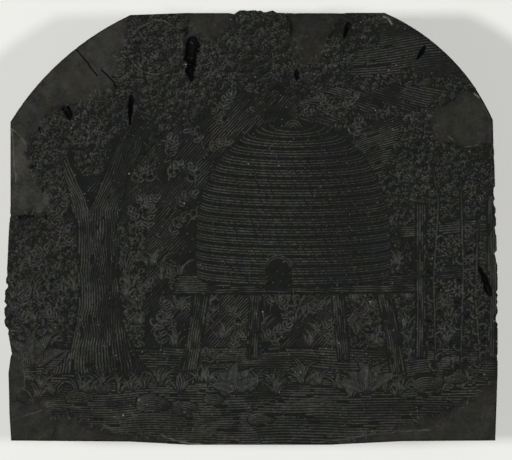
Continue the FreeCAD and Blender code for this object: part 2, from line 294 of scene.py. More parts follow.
def resampled(ring, step):
    """A closed outline as points at even steps along it."""
    closed = np.vstack([ring, ring[:1]])
    along = np.concatenate([[0], np.cumsum(np.hypot(*np.diff(closed, axis=0).T))])
    count = int(round(along[-1] / step))
    wanted = np.linspace(0, along[-1], count, endpoint=False)
    return np.column_stack([np.interp(wanted, along, closed[:, axis]) for axis in range(2)])


def ragged(ring, step, reach, size, seed):
    """A closed outline with its edge wandering to and fro."""
    fine = resampled(ring, step)
    x, y = fine[:, 0], fine[:, 1]
    return fine + reach * np.column_stack([noise(x, y, size, seed), noise(x, y, size, seed + 1)])


def inward_normals(ring, blend):
    """For an anticlockwise outline of even steps, the inward direction, turned gently at corners."""
    step = np.roll(ring, -1, axis=0) - np.roll(ring, 1, axis=0)
    normal = np.column_stack([-step[:, 1], step[:, 0]])
    spread = np.arange(-blend, blend + 1)
    normal = sum(np.roll(normal, shift, axis=0) for shift in spread)
    return normal / np.hypot(normal[:, 0], normal[:, 1])[:, None]


def foot_outline(node):
    """The outline of a CAD node's underside, anticlockwise."""
    points = np.array([tuple(vertex.co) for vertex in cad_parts[node].data.vertices]) / MM
    ring = points[points[:, 2] < points[:, 2].min() + LEVEL_TOLERANCE, :2]
    ring = np.unique(ring.round(3), axis=0)
    return ring[np.argsort(np.arctan2(ring[:, 1], ring[:, 0]))]


def grown(mask, steps):
    """A region of the lattice made wider by this many cells."""
    for _ in range(steps):
        wider = mask.copy()
        wider[1:] |= mask[:-1]
        wider[:-1] |= mask[1:]
        wider[:, 1:] |= mask[:, :-1]
        wider[:, :-1] |= mask[:, 1:]
        mask = wider
    return mask


def softened(values, steps):
    """A layer of the lattice blurred by this many steps."""
    for _ in range(steps):
        padded = np.pad(values, 1, mode="edge")
        beside = padded[1:-1, :-2] + padded[1:-1, 2:] + padded[:-2, 1:-1] + padded[2:, 1:-1]
        values = (values * OWN_WEIGHT + beside) / (OWN_WEIGHT + 4)
    return values


class Face:
    """The printing face as a lattice, with what is cut away, and its pale wear and painted highlights, at
    each point.
    """

    def __init__(self):
        columns = int(round(LENGTH / PITCH)) + 1 + 2 * SPARE_CELLS
        rows = int(round(WIDTH / PITCH)) + 1 + 2 * SPARE_CELLS
        self.x = (np.arange(columns) - (columns - 1) / 2) * PITCH
        self.y = (np.arange(rows) - (rows - 1) / 2) * PITCH
        self.grid_x, self.grid_y = np.meshgrid(self.x, self.y)
        self.shape = self.grid_x.shape
        self.cut = np.zeros(self.shape)
        self.floor = np.zeros(self.shape)
        self.bare = np.zeros(self.shape)
        self.wear_and_highlight = np.zeros(self.shape)
        self.free = np.ones(self.shape, bool)

    def cell(self, points):
        """The lattice row and column that lie nearest to each point, and whether they exist."""
        column = np.rint((points[..., 0] - self.x[0]) / PITCH).astype(int)
        row = np.rint((points[..., 1] - self.y[0]) / PITCH).astype(int)
        known = (column >= 0) & (column < self.shape[1]) & (row >= 0) & (row < self.shape[0])
        return row, column, known

    def at(self, mask, points):
        """Whether each point lies in a region of the lattice."""
        row, column, known = self.cell(points)
        return known & mask[np.where(known, row, 0), np.where(known, column, 0)]

    def filled(self, ring, x=None, y=None):
        """The region inside a closed outline."""
        xs = self.x if x is None else x
        ys = self.y if y is None else y
        start, end = ring, np.roll(ring, -1, axis=0)
        mask = np.zeros((len(ys), len(xs)), bool)
        for row, level in enumerate(ys):
            crossing = (start[:, 1] > level) != (end[:, 1] > level)
            a, b = start[crossing], end[crossing]
            at = a[:, 0] + (level - a[:, 1]) * (b[:, 0] - a[:, 0]) / (b[:, 1] - a[:, 1])
            mask[row] = np.searchsorted(np.sort(at), xs) % 2 == 1
        return mask

    def stamp(self, layer, points, reach, height):
        """Raises a layer to a round hump at each point, where it isn't higher yet."""
        if not len(points):
            return
        reach = np.hypot(reach, LEAST_REACH)
        cells = int(np.ceil(reach.max() / PITCH))
        row, column, _ = self.cell(points)
        for right in range(-cells, cells + 1):
            for up in range(-cells, cells + 1):
                i, j = column + right, row + up
                away = np.hypot(self.x[0] + i * PITCH - points[:, 0], self.y[0] + j * PITCH - points[:, 1])
                hump = height * (1 - (away / reach) ** 2)
                keep = (hump > 0) & (i >= 0) & (i < self.shape[1]) & (j >= 0) & (j < self.shape[0])
                np.maximum.at(layer, (j[keep], i[keep]), hump[keep])

    def engrave(self, strokes, width, within=None, pointed=POINTED_SHARE):
        """Cuts strokes with pointed ends: rows of points, and a width for all, each, or each point."""
        along = np.linspace(0, 1, strokes.shape[1])
        taper = np.sqrt(np.clip(np.minimum(along, 1 - along) / pointed, 0, 1))
        width = np.asarray(width, float)
        width = width[:, None] if width.ndim == 1 else width
        reach = np.broadcast_to(width / 2 * taper, strokes.shape[:2]).ravel()
        points = strokes.reshape(-1, 2)
        keep = self.at(self.free, points) & (reach > LEAST_STROKE)
        if within is not None:
            keep &= self.at(within, points)
        self.stamp(self.cut, points[keep], reach[keep], reach[keep] * CUT_DEPTH_SHARE)

    def claim(self, mask, margin=LAND_CELLS):
        """Keeps later strokes out of a region and a little way round it."""
        self.free &= ~grown(mask, margin)

    def settle(self, margin=1):
        """Keeps later strokes clear of every stroke cut so far."""
        self.claim(self.cut > 0, margin)


def bows(start, end, bulge):
    """Strokes from start to end that bow to the left of their way by a share of their length."""
    start, end = np.asarray(start, float), np.asarray(end, float)
    chord = end - start
    longest = np.hypot(chord[:, 0], chord[:, 1]).max(initial=0)
    along = np.linspace(0, 1, max(LEAST_SAMPLES, int(longest * BOWED_SHARE / SAMPLE_STEP)))
    side = np.column_stack([-chord[:, 1], chord[:, 0]])
    bow = np.broadcast_to(bulge, len(start))[:, None] * 4 * along * (1 - along)
    return start[:, None] + chord[:, None] * along[:, None] + side[:, None] * bow[..., None]


def polyline(points):
    """One long stroke through a row of points."""
    points = np.asarray(points, float)
    along = np.concatenate([[0], np.cumsum(np.hypot(*np.diff(points, axis=0).T))])
    samples = max(LEAST_SAMPLES, int(along[-1] / SAMPLE_STEP))
    wanted = np.linspace(0, along[-1], samples)
    return np.column_stack([np.interp(wanted, along, points[:, axis]) for axis in range(2)])[None]


def towards(x, y, angle, length):
    """The points that lie this far from others, in the given directions."""
    return np.column_stack([x + length * np.cos(angle), y + length * np.sin(angle)])


def arc(turn, across, up):
    """Points at these angles, as far across and up from the middle as the reaches say."""
    return np.column_stack([across * np.cos(turn), up * np.sin(turn)])


rng = np.random.default_rng(SEED)
face = Face()
SCATTER_SHARE = 0.45


def scatter(mask, spacing):
    """Random points inside a region, about this far apart."""
    x, y = np.meshgrid(np.arange(face.x[0], face.x[-1], spacing), np.arange(face.y[0], face.y[-1], spacing))
    points = np.column_stack([x.ravel(), y.ravel()])
    points = points + rng.uniform(-SCATTER_SHARE, SCATTER_SHARE, points.shape) * spacing
    return points[face.at(mask, points)]


def ruled(mask, pitch, bend, width, turn=0.0):
    """Fills a region with long ruled lines that bend, swell and thin with the place."""
    x, y = face.grid_x[mask], face.grid_y[mask]
    if not len(x):
        return
    cos, sin = math.cos(turn), math.sin(turn)
    along, across = x * cos + y * sin, y * cos - x * sin
    levels = np.arange(across.min() - RULED_SPARE, across.max() + RULED_SPARE, pitch)
    level, along = np.meshgrid(levels, np.arange(along.min(), along.max(), SAMPLE_STEP), indexing="ij")
    apart = level * LINES_APART
    across = level + bend(along, level) + HAND_WOBBLE * uneven("line_wobble", along, apart)
    strokes = np.stack([along * cos - across * sin, along * sin + across * cos], axis=-1)
    hand = HAND_WIDTH_SHARE + HAND_SWELL_SHARE * uneven("line_swell", along, apart)
    hand = hand * eased((BREAK_ABOVE - uneven("line_breaks", along, apart)) / BREAK_SPAN)
    face.engrave(strokes, hand * width(strokes[..., 0], strokes[..., 1]), mask, LEAST_STROKE)


# Leafy masses: how the short arcs of a lobe are spaced, thrown about, bowed and lit
SPARE_HEARTS = 4
LOBE_FLATNESS = (0.6, 0.95)
LOBE_REACH_SHARE = 0.8
ARC_STEP_SHARE = 2.3
ARC_THROW = 0.4
ARC_DRIFT = 0.1
ARC_TURN = 0.5
ARC_HALF_SHARES = (0.5, 1.15)
ARC_BOW = 0.12
INNER_BOW = 0.08
BOW_SPREAD = 0.09
SHADED_TONE = 0.42
LIT_TONE = 0.85
LEAF_CHANCE = (0.2, 0.72)
LEAF_WIDTH_SHARES = (0.45, 1.2)


def foliage(mask, lobe, tone, width=0.18, pitch=0.26):
    """Leafy masses: rings of short arcs round the heart of each lobe, broad where the light falls."""
    hearts = scatter(grown(mask, SPARE_HEARTS), lobe)
    lobes = len(hearts)
    tree = kdtree.KDTree(lobes)
    for number, (x, y) in enumerate(hearts):
        tree.insert((x, y, 0), number)
    tree.balance()
    lean, flat = rng.uniform(0, math.pi, lobes), rng.uniform(*LOBE_FLATNESS, lobes)
    for ring in np.arange(0.5, LOBE_REACH_SHARE * lobe / pitch + 0.5):
        radius = pitch * ring
        arcs = max(3, int(round(2 * math.pi * radius / (ARC_STEP_SHARE * pitch))))
        twist = rng.uniform(0, 2 * math.pi, lobes)
        for part in range(arcs):
            angle = twist + part * 2 * math.pi / arcs + rng.normal(0, ARC_THROW / ring**0.5, lobes)
            far = radius + rng.normal(0, ARC_DRIFT, lobes)
            middle = hearts + towards(0, 0, angle, far * (1 + (1 - flat) * np.cos(2 * (angle - lean))))
            owner = np.array([tree.find((x, y, 0))[1] for x, y in middle])
            lit = 0.5 + 0.5 * np.cos(angle - LIGHT_FROM)
            value = tone(middle[:, 0], middle[:, 1]) * (SHADED_TONE + LIT_TONE * lit)
            keep = (owner == np.arange(lobes)) & (value > rng.uniform(*LEAF_CHANCE, lobes))
            way = angle + math.pi / 2 + rng.normal(0, ARC_TURN, lobes)
            half = pitch * rng.uniform(*ARC_HALF_SHARES, lobes)
            start, end = towards(*middle.T, way, -half)[keep], towards(*middle.T, way, half)[keep]
            bulge = -ARC_BOW - INNER_BOW / ring + rng.normal(0, BOW_SPREAD, keep.sum())
            face.engrave(bows(start, end, bulge), width * np.clip(value[keep], *LEAF_WIDTH_SHARES), mask)


# A pointed leaf: the side and width of its two crescents, and the midrib between them
CRESCENT_SHARES = ((-1, 0.26), (1, 0.2))
CRESCENT_BOW = 0.2
MIDRIB_HALF = 0.06
MIDRIB_TAPER = 0.4


def leaves(x, y, angle, length):
    """Pointed leaves, each cut as two crescents with the midrib left standing."""
    x, y, angle, length = np.broadcast_arrays(x, y, angle, length)
    tip = towards(x, y, angle, length)
    for side, width in CRESCENT_SHARES:
        start = towards(x, y, angle + side * 0.5 * math.pi, MIDRIB_HALF)
        end = tip + (start - np.column_stack([x, y])) * MIDRIB_TAPER
        face.engrave(bows(start, end, side * CRESCENT_BOW), length * width)


def in_turn(cut, points, parts=5):
    """Cuts things in a few turns, so that the nearer ones hide the rest."""
    for part in np.array_split(rng.permutation(points), parts):
        cut(part)
        face.settle(1)


# Leafy twigs
SPRAY_LENGTH = 4.4
SPRAY_LENGTH_SHARES = (0.7, 1.2)
SPRAY_LEANS = (0.4, 2.7)
SPRAY_BOW = 0.16
STEM_WIDTH = 0.15
PAIR_SHARES = (0.42, 0.68, 0.92)
PAIR_TURN = 0.9
PAIR_TURN_SPREAD = 0.2
SPRAY_LEAF = 1.5
LEAF_SIZE_SHARES = (0.7, 1.1)
LOW_LEAF_SHARE = 1.15
LEAF_LOSS_SHARE = 0.35
TIP_LEAF_SHARE = 0.85


def sprays(points):
    """Leafy twigs that arch from each point, with leaves in pairs and one at the tip."""
    x, y = points[:, 0], points[:, 1]
    lean = rng.uniform(*SPRAY_LEANS, len(x))
    tips = towards(x, y, lean, SPRAY_LENGTH * rng.uniform(*SPRAY_LENGTH_SHARES, len(x)))
    stems = bows(points, tips, SPRAY_BOW * np.sign(np.cos(lean)))
    face.engrave(stems, STEM_WIDTH)
    for share in PAIR_SHARES:
        spot = stems[:, int(share * (stems.shape[1] - 1))]
        for side in (-1, 1):
            angle = lean + side * PAIR_TURN + rng.normal(0, PAIR_TURN_SPREAD, len(x))
            size = SPRAY_LEAF * (LOW_LEAF_SHARE - LEAF_LOSS_SHARE * share)
            size = size * rng.uniform(*LEAF_SIZE_SHARES, len(x))
            leaves(spot[:, 0], spot[:, 1], angle, size)
    leaves(tips[:, 0], tips[:, 1], lean, SPRAY_LEAF * TIP_LEAF_SHARE)


# Tufts of grass
BLADES = 11
BLADE_HEIGHT = 3.4
BLADE_WIDTH = 0.18
BLADE_SHARES = (0.45, 1.15)
BLADE_LEAN = 0.85
BLADE_DROOP = 0.4
BLADE_BOW = 0.2
BLADE_BOW_SHARES = (0.6, 1.3)
TUFT_HALF = 0.7
TUFT_DEPTH = 0.2


def tufts(points):
    """Tufts of arching grass."""
    for number in range(BLADES):
        side = rng.uniform(-1, 1, len(points))
        tall = BLADE_HEIGHT * rng.uniform(*BLADE_SHARES, len(points))
        deep = rng.uniform(-TUFT_DEPTH, TUFT_DEPTH, len(points))
        start = points + np.column_stack([side * TUFT_HALF, deep])
        end = start + np.column_stack([tall * side * BLADE_LEAN, tall * (1 - BLADE_DROOP * np.abs(side))])
        bow = BLADE_BOW * np.sign(side) * rng.uniform(*BLADE_BOW_SHARES, len(side))
        face.engrave(bows(start, end, bow), BLADE_WIDTH)


# Fern fronds
FROND_BOW = 0.16
FROND_WIDTH = 0.14
LEAFLET_PAIRS = 19
LEAFLET_SPAN_SHARES = (0.12, 0.97)
LEAFLET_LENGTH = 1.4
LEAFLET_FULLEST = 1.25
LEAFLET_LOSS = (1.1, 0.7)
LEAFLET_GAP = 0.12
LEAFLET_RAKE = 0.95
LEAFLET_BOW = 0.12
LEAFLET_WIDTH = 0.2


def ferns(root, tips):
    """Arching fern fronds from one root, with paired leaflets that shorten to the tip."""
    for tip in tips:
        bend = FROND_BOW if tip[0] < root[0] else -FROND_BOW
        line = bows(root[None], tip[None], -bend)
        face.engrave(line, FROND_WIDTH)
        pick = np.linspace(*LEAFLET_SPAN_SHARES, LEAFLET_PAIRS)
        number = (pick * (line.shape[1] - 1)).astype(int)
        spots, way = line[0][number], np.gradient(line[0], axis=0)[number]
        angle = np.arctan2(way[:, 1], way[:, 0])
        full, loss = LEAFLET_LOSS
        rounding = np.sin(np.clip(pick * LEAFLET_FULLEST, 0, 1) * math.pi) ** 0.5
        size = LEAFLET_LENGTH * rounding * (full - loss * pick)
        for side in (-1, 1):
            start = towards(spots[:, 0], spots[:, 1], angle + side, LEAFLET_GAP)
            end = towards(spots[:, 0], spots[:, 1], angle + side * LEAFLET_RAKE, LEAFLET_GAP + size)
            face.engrave(bows(start, end, -side * LEAFLET_BOW), LEAFLET_WIDTH)
        face.settle(1)


# Rounded stones
STONE_CORNERS = 40
STONE_WOBBLE = 0.08
STONE_PITCH = 0.38
STONE_CURVE = 0.9
STONE_LINE = 0.2
STONE_FADE_RIGHT = 0.035
STONE_GAIN_UP = 0.05
STONE_SWELL = 0.03


def stones(middles, sizes):
    """Rounded stones, lit from the left by curved strokes that thin out to the right."""
    turn = np.linspace(0, 2 * math.pi, STONE_CORNERS, endpoint=False)
    for (middle_x, middle_y), (long, high) in zip(placed(middles), sizes):
        wobble = 1 + STONE_WOBBLE * np.sin(turn * 3 + middle_x)
        ring = (middle_x, middle_y) + arc(turn, long * wobble, high * wobble)
        region = face.filled(ring) & face.free

        def curve(along, level):
            return -STONE_CURVE * ((along - middle_x) / long) ** 2

        def width(x, y):
            lit = STONE_LINE - STONE_FADE_RIGHT * (x - middle_x) + STONE_GAIN_UP * (y - middle_y)
            return lit + STONE_SWELL * uneven("stone_line", x, y)

        ruled(region, STONE_PITCH, curve, width)
        face.claim(region)


# The picture is a made-up garden scene: a straw beehive on a stool, an old tree, a fence and flowers.
LIGHT_FROM = 2.3
HIVE_SHARES = {"middle": (0.085, -0.115), "half": 0.2, "height": 0.36}
HIVE_COILS = 16
HIVE_STRANDS = 3
HIVE_SAG = 1.3
STITCH_STEP = 1.3
PLANK_SHARES = (((-0.15, -0.113), (0.325, -0.108), (0.335, -0.148), (-0.16, -0.153)),)
LEG_SHARES = (
    ((-0.115, -0.15), (-0.085, -0.15), (-0.115, -0.36), (-0.145, -0.36)),
    ((0.255, -0.148), (0.285, -0.148), (0.318, -0.365), (0.288, -0.365)),
    ((0.0, -0.15), (0.022, -0.15), (0.014, -0.3), (-0.008, -0.3)),
    ((0.165, -0.15), (0.187, -0.15), (0.199, -0.305), (0.177, -0.305)),
)
TRUNK_SHARES = (
    (-0.41, -0.335), (-0.365, -0.29), (-0.35, -0.2), (-0.347, -0.08), (-0.36, 0.04), (-0.385, 0.15),
    (-0.365, 0.17), (-0.335, 0.085), (-0.31, 0.075), (-0.285, 0.17), (-0.235, 0.25), (-0.2, 0.24),
    (-0.25, 0.13), (-0.27, 0.02), (-0.272, -0.1), (-0.262, -0.22), (-0.235, -0.3), (-0.19, -0.345),
)
TRUNK_FORK = (-0.325, 0.04)
LIMB_LEAN = 0.42
ROOT_TOP = -16.0
CANOPY_SHARES = (
    (-0.55, -0.13), (-0.47, -0.1), (-0.43, -0.03), (-0.4, 0.07), (-0.34, 0.12), (-0.24, 0.14), (-0.18, 0.21),
    (-0.1, 0.25), (-0.04, 0.31), (0.05, 0.29), (0.13, 0.31), (0.2, 0.37), (0.25, 0.43), (0.27, 0.55),
    (-0.55, 0.55),
)
WATER_SHARES = (
    (0.0, -0.425), (0.07, -0.39), (0.2, -0.385), (0.34, -0.395), (0.5, -0.35), (0.5, -0.55), (0.04, -0.55),
)
STONE_SHARES = (
    (-0.2, -0.405), (-0.135, -0.415), (-0.075, -0.395), (0.36, -0.355), (0.415, -0.345), (0.02, -0.44),
    (-0.35, -0.39), (-0.3, -0.37),
)
STONE_SIZES = ((2.9, 1.5), (2.2, 1.2), (1.7, 1.0), (2.6, 1.4), (1.9, 1.1), (2.4, 1.0), (2.4, 1.1), (1.5, 0.9))
FLOWER_SHARES = (
    ((0.375, -0.33), (0.37, -0.12), (0.38, 0.06), (0.365, 0.16)),
    ((0.425, -0.33), (0.43, -0.1), (0.425, 0.12)),
    ((0.465, -0.32), (0.455, -0.16), (0.46, 0.02)),
)
RAIL_SHARES = (
    ((0.3, 0.0), (0.5, 0.02), (0.5, -0.005), (0.3, -0.025)),
    ((0.3, -0.1), (0.5, -0.085), (0.5, -0.11), (0.3, -0.125)),
)
POST_SHARES = (
    ((0.335, 0.055), (0.355, 0.055), (0.355, -0.3), (0.335, -0.3)),
    ((0.482, 0.075), (0.5, 0.075), (0.5, -0.3), (0.482, -0.3)),
)
CROWN_SHARES = (
    (0.27, 0.0), (0.262, 0.07), (0.29, 0.12), (0.283, 0.18), (0.31, 0.235), (0.345, 0.25), (0.37, 0.3),
    (0.41, 0.31), (0.45, 0.26), (0.5, 0.24), (0.52, 0.0),
)
FERN_ROOT_SHARES = ((-0.44, -0.33), (-0.03, -0.385), (0.235, -0.385))
FERN_REACH = (8.5, 6.0, 6.5)
# Hedgerows up the hillside: the height of each and how it slopes
HEDGEROW_SHARES = ((0.17, -0.12), (0.235, 0.1), (0.3, -0.14), (0.385, -0.1))
HEDGEROW_HEIGHT = 2.2
BEE_SHARES = (
    (-0.17, 0.15), (-0.13, 0.03), (-0.19, -0.02), (0.31, 0.2), (0.29, 0.1), (0.0, 0.27), (0.2, 0.3),
    (-0.16, -0.09),
)


# The hive: its flank, its door, its light, and the sewn coils of straw round it
FLANK_POWER = 2.6
FLANK_PINCH = 0.05
FLANK_POINTS = 60
BASE_POINTS = 30
ARCH_POINTS = 16
DOOR_PLACE = (-2.5, 0)
DOOR_RISE = 1.4
DOOR_HALF = 2.2
DOOR_FOOT = -2
DOOR_RIMS = (2.35, 1.95)
DRAWN_LINE = 0.2
COIL_POINTS = 400
HIVE_DIM = 0.3
HIVE_GLOW = 0.95
HIVE_LIGHT_TURN = 0.5
HIVE_LIGHT_POWER = 1.4
HIVE_LIGHT_SPAN = (0.62, 1.15)
HIVE_SPARE = 4
HIVE_MARGIN = 3
STRAND_START = 0.55
STRAND_SPARE = 0.75
STRAND_BULGE = 0.25
STRAND_SHIFT = 0.3
COIL_SHIFT = 0.5
STITCH_DRIFT = 0.25
STITCH_GAP = 0.17
STRAND_WIDTHS = (0.21, 0.25, 0.2)
STRAND_EVEN = 0.85
STRAND_UNEVEN = 0.25
STRANDS_APART = 90
STRAND_POINT = 0.01
KNOB_SIZES = (0.5, 0.95, 1.4)


def cut_hive():
    """A straw hive of sewn coils, lit from the left, with its door left black."""
    middle = placed(HIVE_SHARES["middle"])
    half, height = HIVE_SHARES["half"] * LENGTH, HIVE_SHARES["height"] * WIDTH

    def half_at(share):
        full = half * np.clip(1 - share**FLANK_POWER, 0, 1) ** 0.5
        return full * (1 - FLANK_PINCH * (1 - share) ** 3)

    share = np.linspace(0, 1, FLANK_POINTS)
    flank = np.column_stack([half_at(share), share * height])
    under = arc(np.linspace(math.pi, 0, BASE_POINTS), half_at(0), -HIVE_SAG)
    region = face.filled(middle + np.vstack([under, flank, flank[::-1] * (-1, 1)]))
    arch = np.linspace(0, math.pi, ARCH_POINTS)
    for size in DOOR_RIMS:
        face.engrave(polyline(arc(arch, size, size) + (0, DOOR_RISE) + middle + DOOR_PLACE), DRAWN_LINE)
    sill = [(-DOOR_HALF, DOOR_FOOT), (DOOR_HALF, DOOR_FOOT)]
    door = np.vstack([arc(arch, DOOR_HALF, DOOR_HALF) + (0, DOOR_RISE), sill])
    face.claim(face.filled(door + middle + DOOR_PLACE), 1)
    turn = np.linspace(-1, 1, COIL_POINTS) * math.pi / 2
    lit = HIVE_DIM + HIVE_GLOW * np.clip(np.cos(turn + HIVE_LIGHT_TURN), 0, 1) ** HIVE_LIGHT_POWER
    light = np.clip(lit, *HIVE_LIGHT_SPAN)
    for coil in range(HIVE_COILS):
        for strand in range(HIVE_STRANDS):
            rise = (coil + (strand + STRAND_START) / (HIVE_STRANDS + STRAND_SPARE)) / HIVE_COILS
            wide = half_at(rise) + STRAND_BULGE * math.sin((strand + 0.5) / HIVE_STRANDS * math.pi)
            across = wide * turn + STRAND_SHIFT * strand + COIL_SHIFT * coil
            across = across + STITCH_DRIFT * uneven("stitch_drift", across, np.full_like(turn, coil))
            stitch = (across / STITCH_STEP) % 1 > STITCH_GAP
            x = middle[0] + wide * np.sin(turn)
            y = middle[1] + rise * height - HIVE_SAG * np.cos(turn)
            swell = STRAND_UNEVEN * uneven("strand_line", across, np.full_like(turn, rise * STRANDS_APART))
            width = STRAND_WIDTHS[strand] * light * (STRAND_EVEN + swell) * stitch
            face.engrave(np.column_stack([x, y])[None], width[None], grown(region, HIVE_SPARE), STRAND_POINT)
    knob = middle + (0, height - HIVE_SAG)
    for size in KNOB_SIZES:
        face.engrave(polyline(knob + arc(arch, size, size)), DRAWN_LINE)
    face.claim(region, LAND_CELLS + 2)
    face.settle(HIVE_MARGIN)


# Boards
BOARD_PITCH = 0.38
BOARD_LINE = 0.17
BOARD_SWELL = 0.16
BOARD_LINE_SPAN = (0.06, 0.27)
BOARD_STRETCH = 0.3
BOARD_BEND = 0.1


def cut_boards(shares, upright=False):
    """Flat boards or poles, with grain that runs along them."""
    stretch = 1 if upright else BOARD_STRETCH

    def bend(along, level):
        return BOARD_BEND * uneven("board_bend", along, level)

    def grain(x, y):
        swell = BOARD_SWELL * uneven("board_line", x * stretch, y * BOARD_STRETCH)
        return np.clip(BOARD_LINE + swell, *BOARD_LINE_SPAN)

    for board in shares:
        ring = placed(board)
        region = face.filled(ring) & face.free
        way = ring[0] - ring[-1] if upright else ring[1] - ring[0]
        ruled(region, BOARD_PITCH, bend, grain, math.atan2(way[1], way[0]))
        face.claim(region, LAND_CELLS + 1)


# How outlines wander: the step of their points, how far they stray, the size of the hills and a seed
TRUNK_EDGE = (0.2, 0.45, 2.2, 20)
CANOPY_EDGE = (0.2, 1.5, 3.2, 40)
CROWN_EDGE = (0.2, 0.8, 2.0, 54)

# The bark
ROOT_FLARE = 0.02
ROOT_POWER = 1.2
BARK_PITCH = 0.42
BARK_BEND = 0.3
BARK_WOBBLE = 0.08
BARK_LINE = 0.19
BARK_FADE_RIGHT = 0.014
BARK_SWELL = 0.1
BARK_STRETCH = 0.35
BARK_PATCHES = 0.05
BARK_LINE_SPAN = (0.08, 0.3)


def cut_trunk():
    """The old tree, with bark that follows its limbs."""
    region = face.filled(ragged(placed(TRUNK_SHARES), *TRUNK_EDGE)) & face.free
    fork_x, fork_y = placed(TRUNK_FORK)

    def splay(along, level):
        lean = LIMB_LEAN * np.maximum(along - fork_y, 0) * np.sign(level + fork_x)
        flare = ROOT_FLARE * np.maximum(ROOT_TOP - along, 0) ** ROOT_POWER * (level + fork_x)
        bent = lean + flare + BARK_BEND * uneven("bark_bend", along, level)
        return bent + BARK_WOBBLE * uneven("bark_wobble", along, level)

    def bark(x, y):
        swell = BARK_SWELL * uneven("bark_line", x, y * BARK_STRETCH)
        lit = BARK_LINE - BARK_FADE_RIGHT * (x - fork_x) + swell + BARK_PATCHES * uneven("bark_patches", x, y)
        return np.clip(lit, *BARK_LINE_SPAN)

    ruled(region, BARK_PITCH, splay, bark, math.pi / 2)
    face.claim(region, LAND_CELLS + 1)


# Flowers: the blossoms up a stalk and their petals, and the leaves on the lower part of it
BLOSSOMS = 8
BLOSSOM_FROM = 0.4
BLOSSOM_ASIDE = 0.9
BLOSSOM_SPREAD = 0.2
BLOSSOM_SIZES = (1.15, 0.55)
PETALS = 8
PETAL_START = 0.3
PETAL_TURN = 0.25
PETAL_BOW = 0.2
PETAL_WIDTH = 0.28
LOW_LEAVES = 12
LOW_LEAVES_END = 0.6
LOW_LEAF_TURN = 0.6
LOW_LEAF_SPREAD = 0.2
LOW_LEAF_SIZES = (1.3, 2.0)


def cut_flowers():
    """Tall garden flowers with round blossoms up their stalks."""
    for stalk in FLOWER_SHARES:
        line = polyline(placed(stalk))
        face.engrave(line, DRAWN_LINE)
        points = line[0]
        spots = points[np.linspace(len(points) * BLOSSOM_FROM, len(points) - 1, BLOSSOMS).astype(int)]
        aside = rng.choice([-BLOSSOM_ASIDE, BLOSSOM_ASIDE], len(spots))
        spots = spots + np.column_stack([aside, rng.normal(0, BLOSSOM_SPREAD, len(spots))])
        size = np.linspace(*BLOSSOM_SIZES, len(spots))
        for petal in np.arange(PETALS) * 2 * math.pi / PETALS:
            start = towards(spots[:, 0], spots[:, 1], petal, size * PETAL_START)
            end = towards(spots[:, 0], spots[:, 1], petal + PETAL_TURN, size)
            face.engrave(bows(start, end, PETAL_BOW), size * PETAL_WIDTH)
        low = points[np.linspace(0, len(points) * LOW_LEAVES_END, LOW_LEAVES).astype(int)]
        side = np.where(np.arange(len(low)) % 2, LOW_LEAF_TURN, math.pi - LOW_LEAF_TURN)
        side = side + rng.normal(0, LOW_LEAF_SPREAD, len(low))
        leaves(low[:, 0], low[:, 1], side, rng.uniform(*LOW_LEAF_SIZES, len(low)))
    face.settle(2)


# Bees: the length, bow and width of the body and of a wing, and how far each wing is lifted
BEE_TURN = 0.6
BEE_BODY = (0.8, 0.05, 0.3)
BEE_WING = (0.75, 0.25, 0.17)
WING_LIFTS = (1.2, 1.9)


def cut_bees():
    """A few bees about the hive."""
    spots = placed(BEE_SHARES)
    turn = rng.uniform(-BEE_TURN, BEE_TURN, len(spots))
    for lift, (length, bow, width) in ((0, BEE_BODY), *((lift, BEE_WING) for lift in WING_LIFTS)):
        face.engrave(bows(spots, towards(spots[:, 0], spots[:, 1], turn + lift, length), bow), width)
    face.settle(2)


# Ruled fields: how far apart the lines are; the size, seed and height of their waves; and their tone:
# its middle and swing, the size and seed of its patches, and how far these are drawn out.
FIELDS = {
    "water": (0.46, (3.1, 31, 0.16), (0.235, 0.13, 2.2, 32, 0.22)),
    "ground": (0.4, (4.0, 47, 0.35), (0.215, 0.14, 1.5, 48, 0.4)),
    "hillside": (0.4, (4.0, 62, 0.5), (0.17, 0.13, 2.0, 67, 0.5)),
    "sky": (0.4, (5.0, 45, 0.8), (0.18, 0.13, 2.6, 46, 0.35)),
    "shadow": (0.42, (3.0, 52, 0.2), (0.11, 0.11, 2.8, 53, 1.0)),
}
WAVE_STRETCH = 0.5
FIELD_LINE_SPAN = (0.02, 0.3)


def even(x, y):
    """The same tone everywhere."""
    return 1


def cut_field(mask, name, turn=0.0, step=0, veil=even):
    """Fills a region with wavy ruled lines that pass from light to dark in patches."""
    pitch, (wave, wave_seed, high), (middle, swing, patch, patch_seed, stretch) = FIELDS[name]

    def bend(along, level):
        drift = high * noise(along * WAVE_STRETCH, level, wave, wave_seed + step)
        return drift + 0.5 * high * np.sin(along / wave)

    def width(x, y):
        tone = middle + swing * noise(x * stretch, y, patch, patch_seed + step)
        return np.clip(tone, *FIELD_LINE_SPAN) * veil(x, y)

    ruled(mask, pitch, bend, width, turn)
    face.claim(mask)


# The foreground
FERN_ANGLES = (2.85, 1.45, 2.35, 0.5, 1.9, 1.0)
FERN_REACH_SHARES = (0.8, 1.1)
FRONT_TUFTS = 34
FRONT_HALF = 36
FRONT_LEVEL = -27.4
FRONT_SPREAD = 0.9


def cut_foreground():
    """Ferns, stones, tufts of grass and still water."""
    for root, reach in zip(placed(FERN_ROOT_SHARES), FERN_REACH):
        angles = np.array(FERN_ANGLES)
        ferns(root, towards(root[0], root[1], angles, reach * rng.uniform(*FERN_REACH_SHARES, len(angles))))
    stones(STONE_SHARES, STONE_SIZES)
    row_x = np.linspace(-FRONT_HALF, FRONT_HALF, FRONT_TUFTS)
    row = np.column_stack([row_x, np.full(FRONT_TUFTS, FRONT_LEVEL)])
    in_turn(tufts, row + rng.normal(0, FRONT_SPREAD, row.shape))
    cut_field(face.filled(placed(WATER_SHARES)) & face.free, "water")


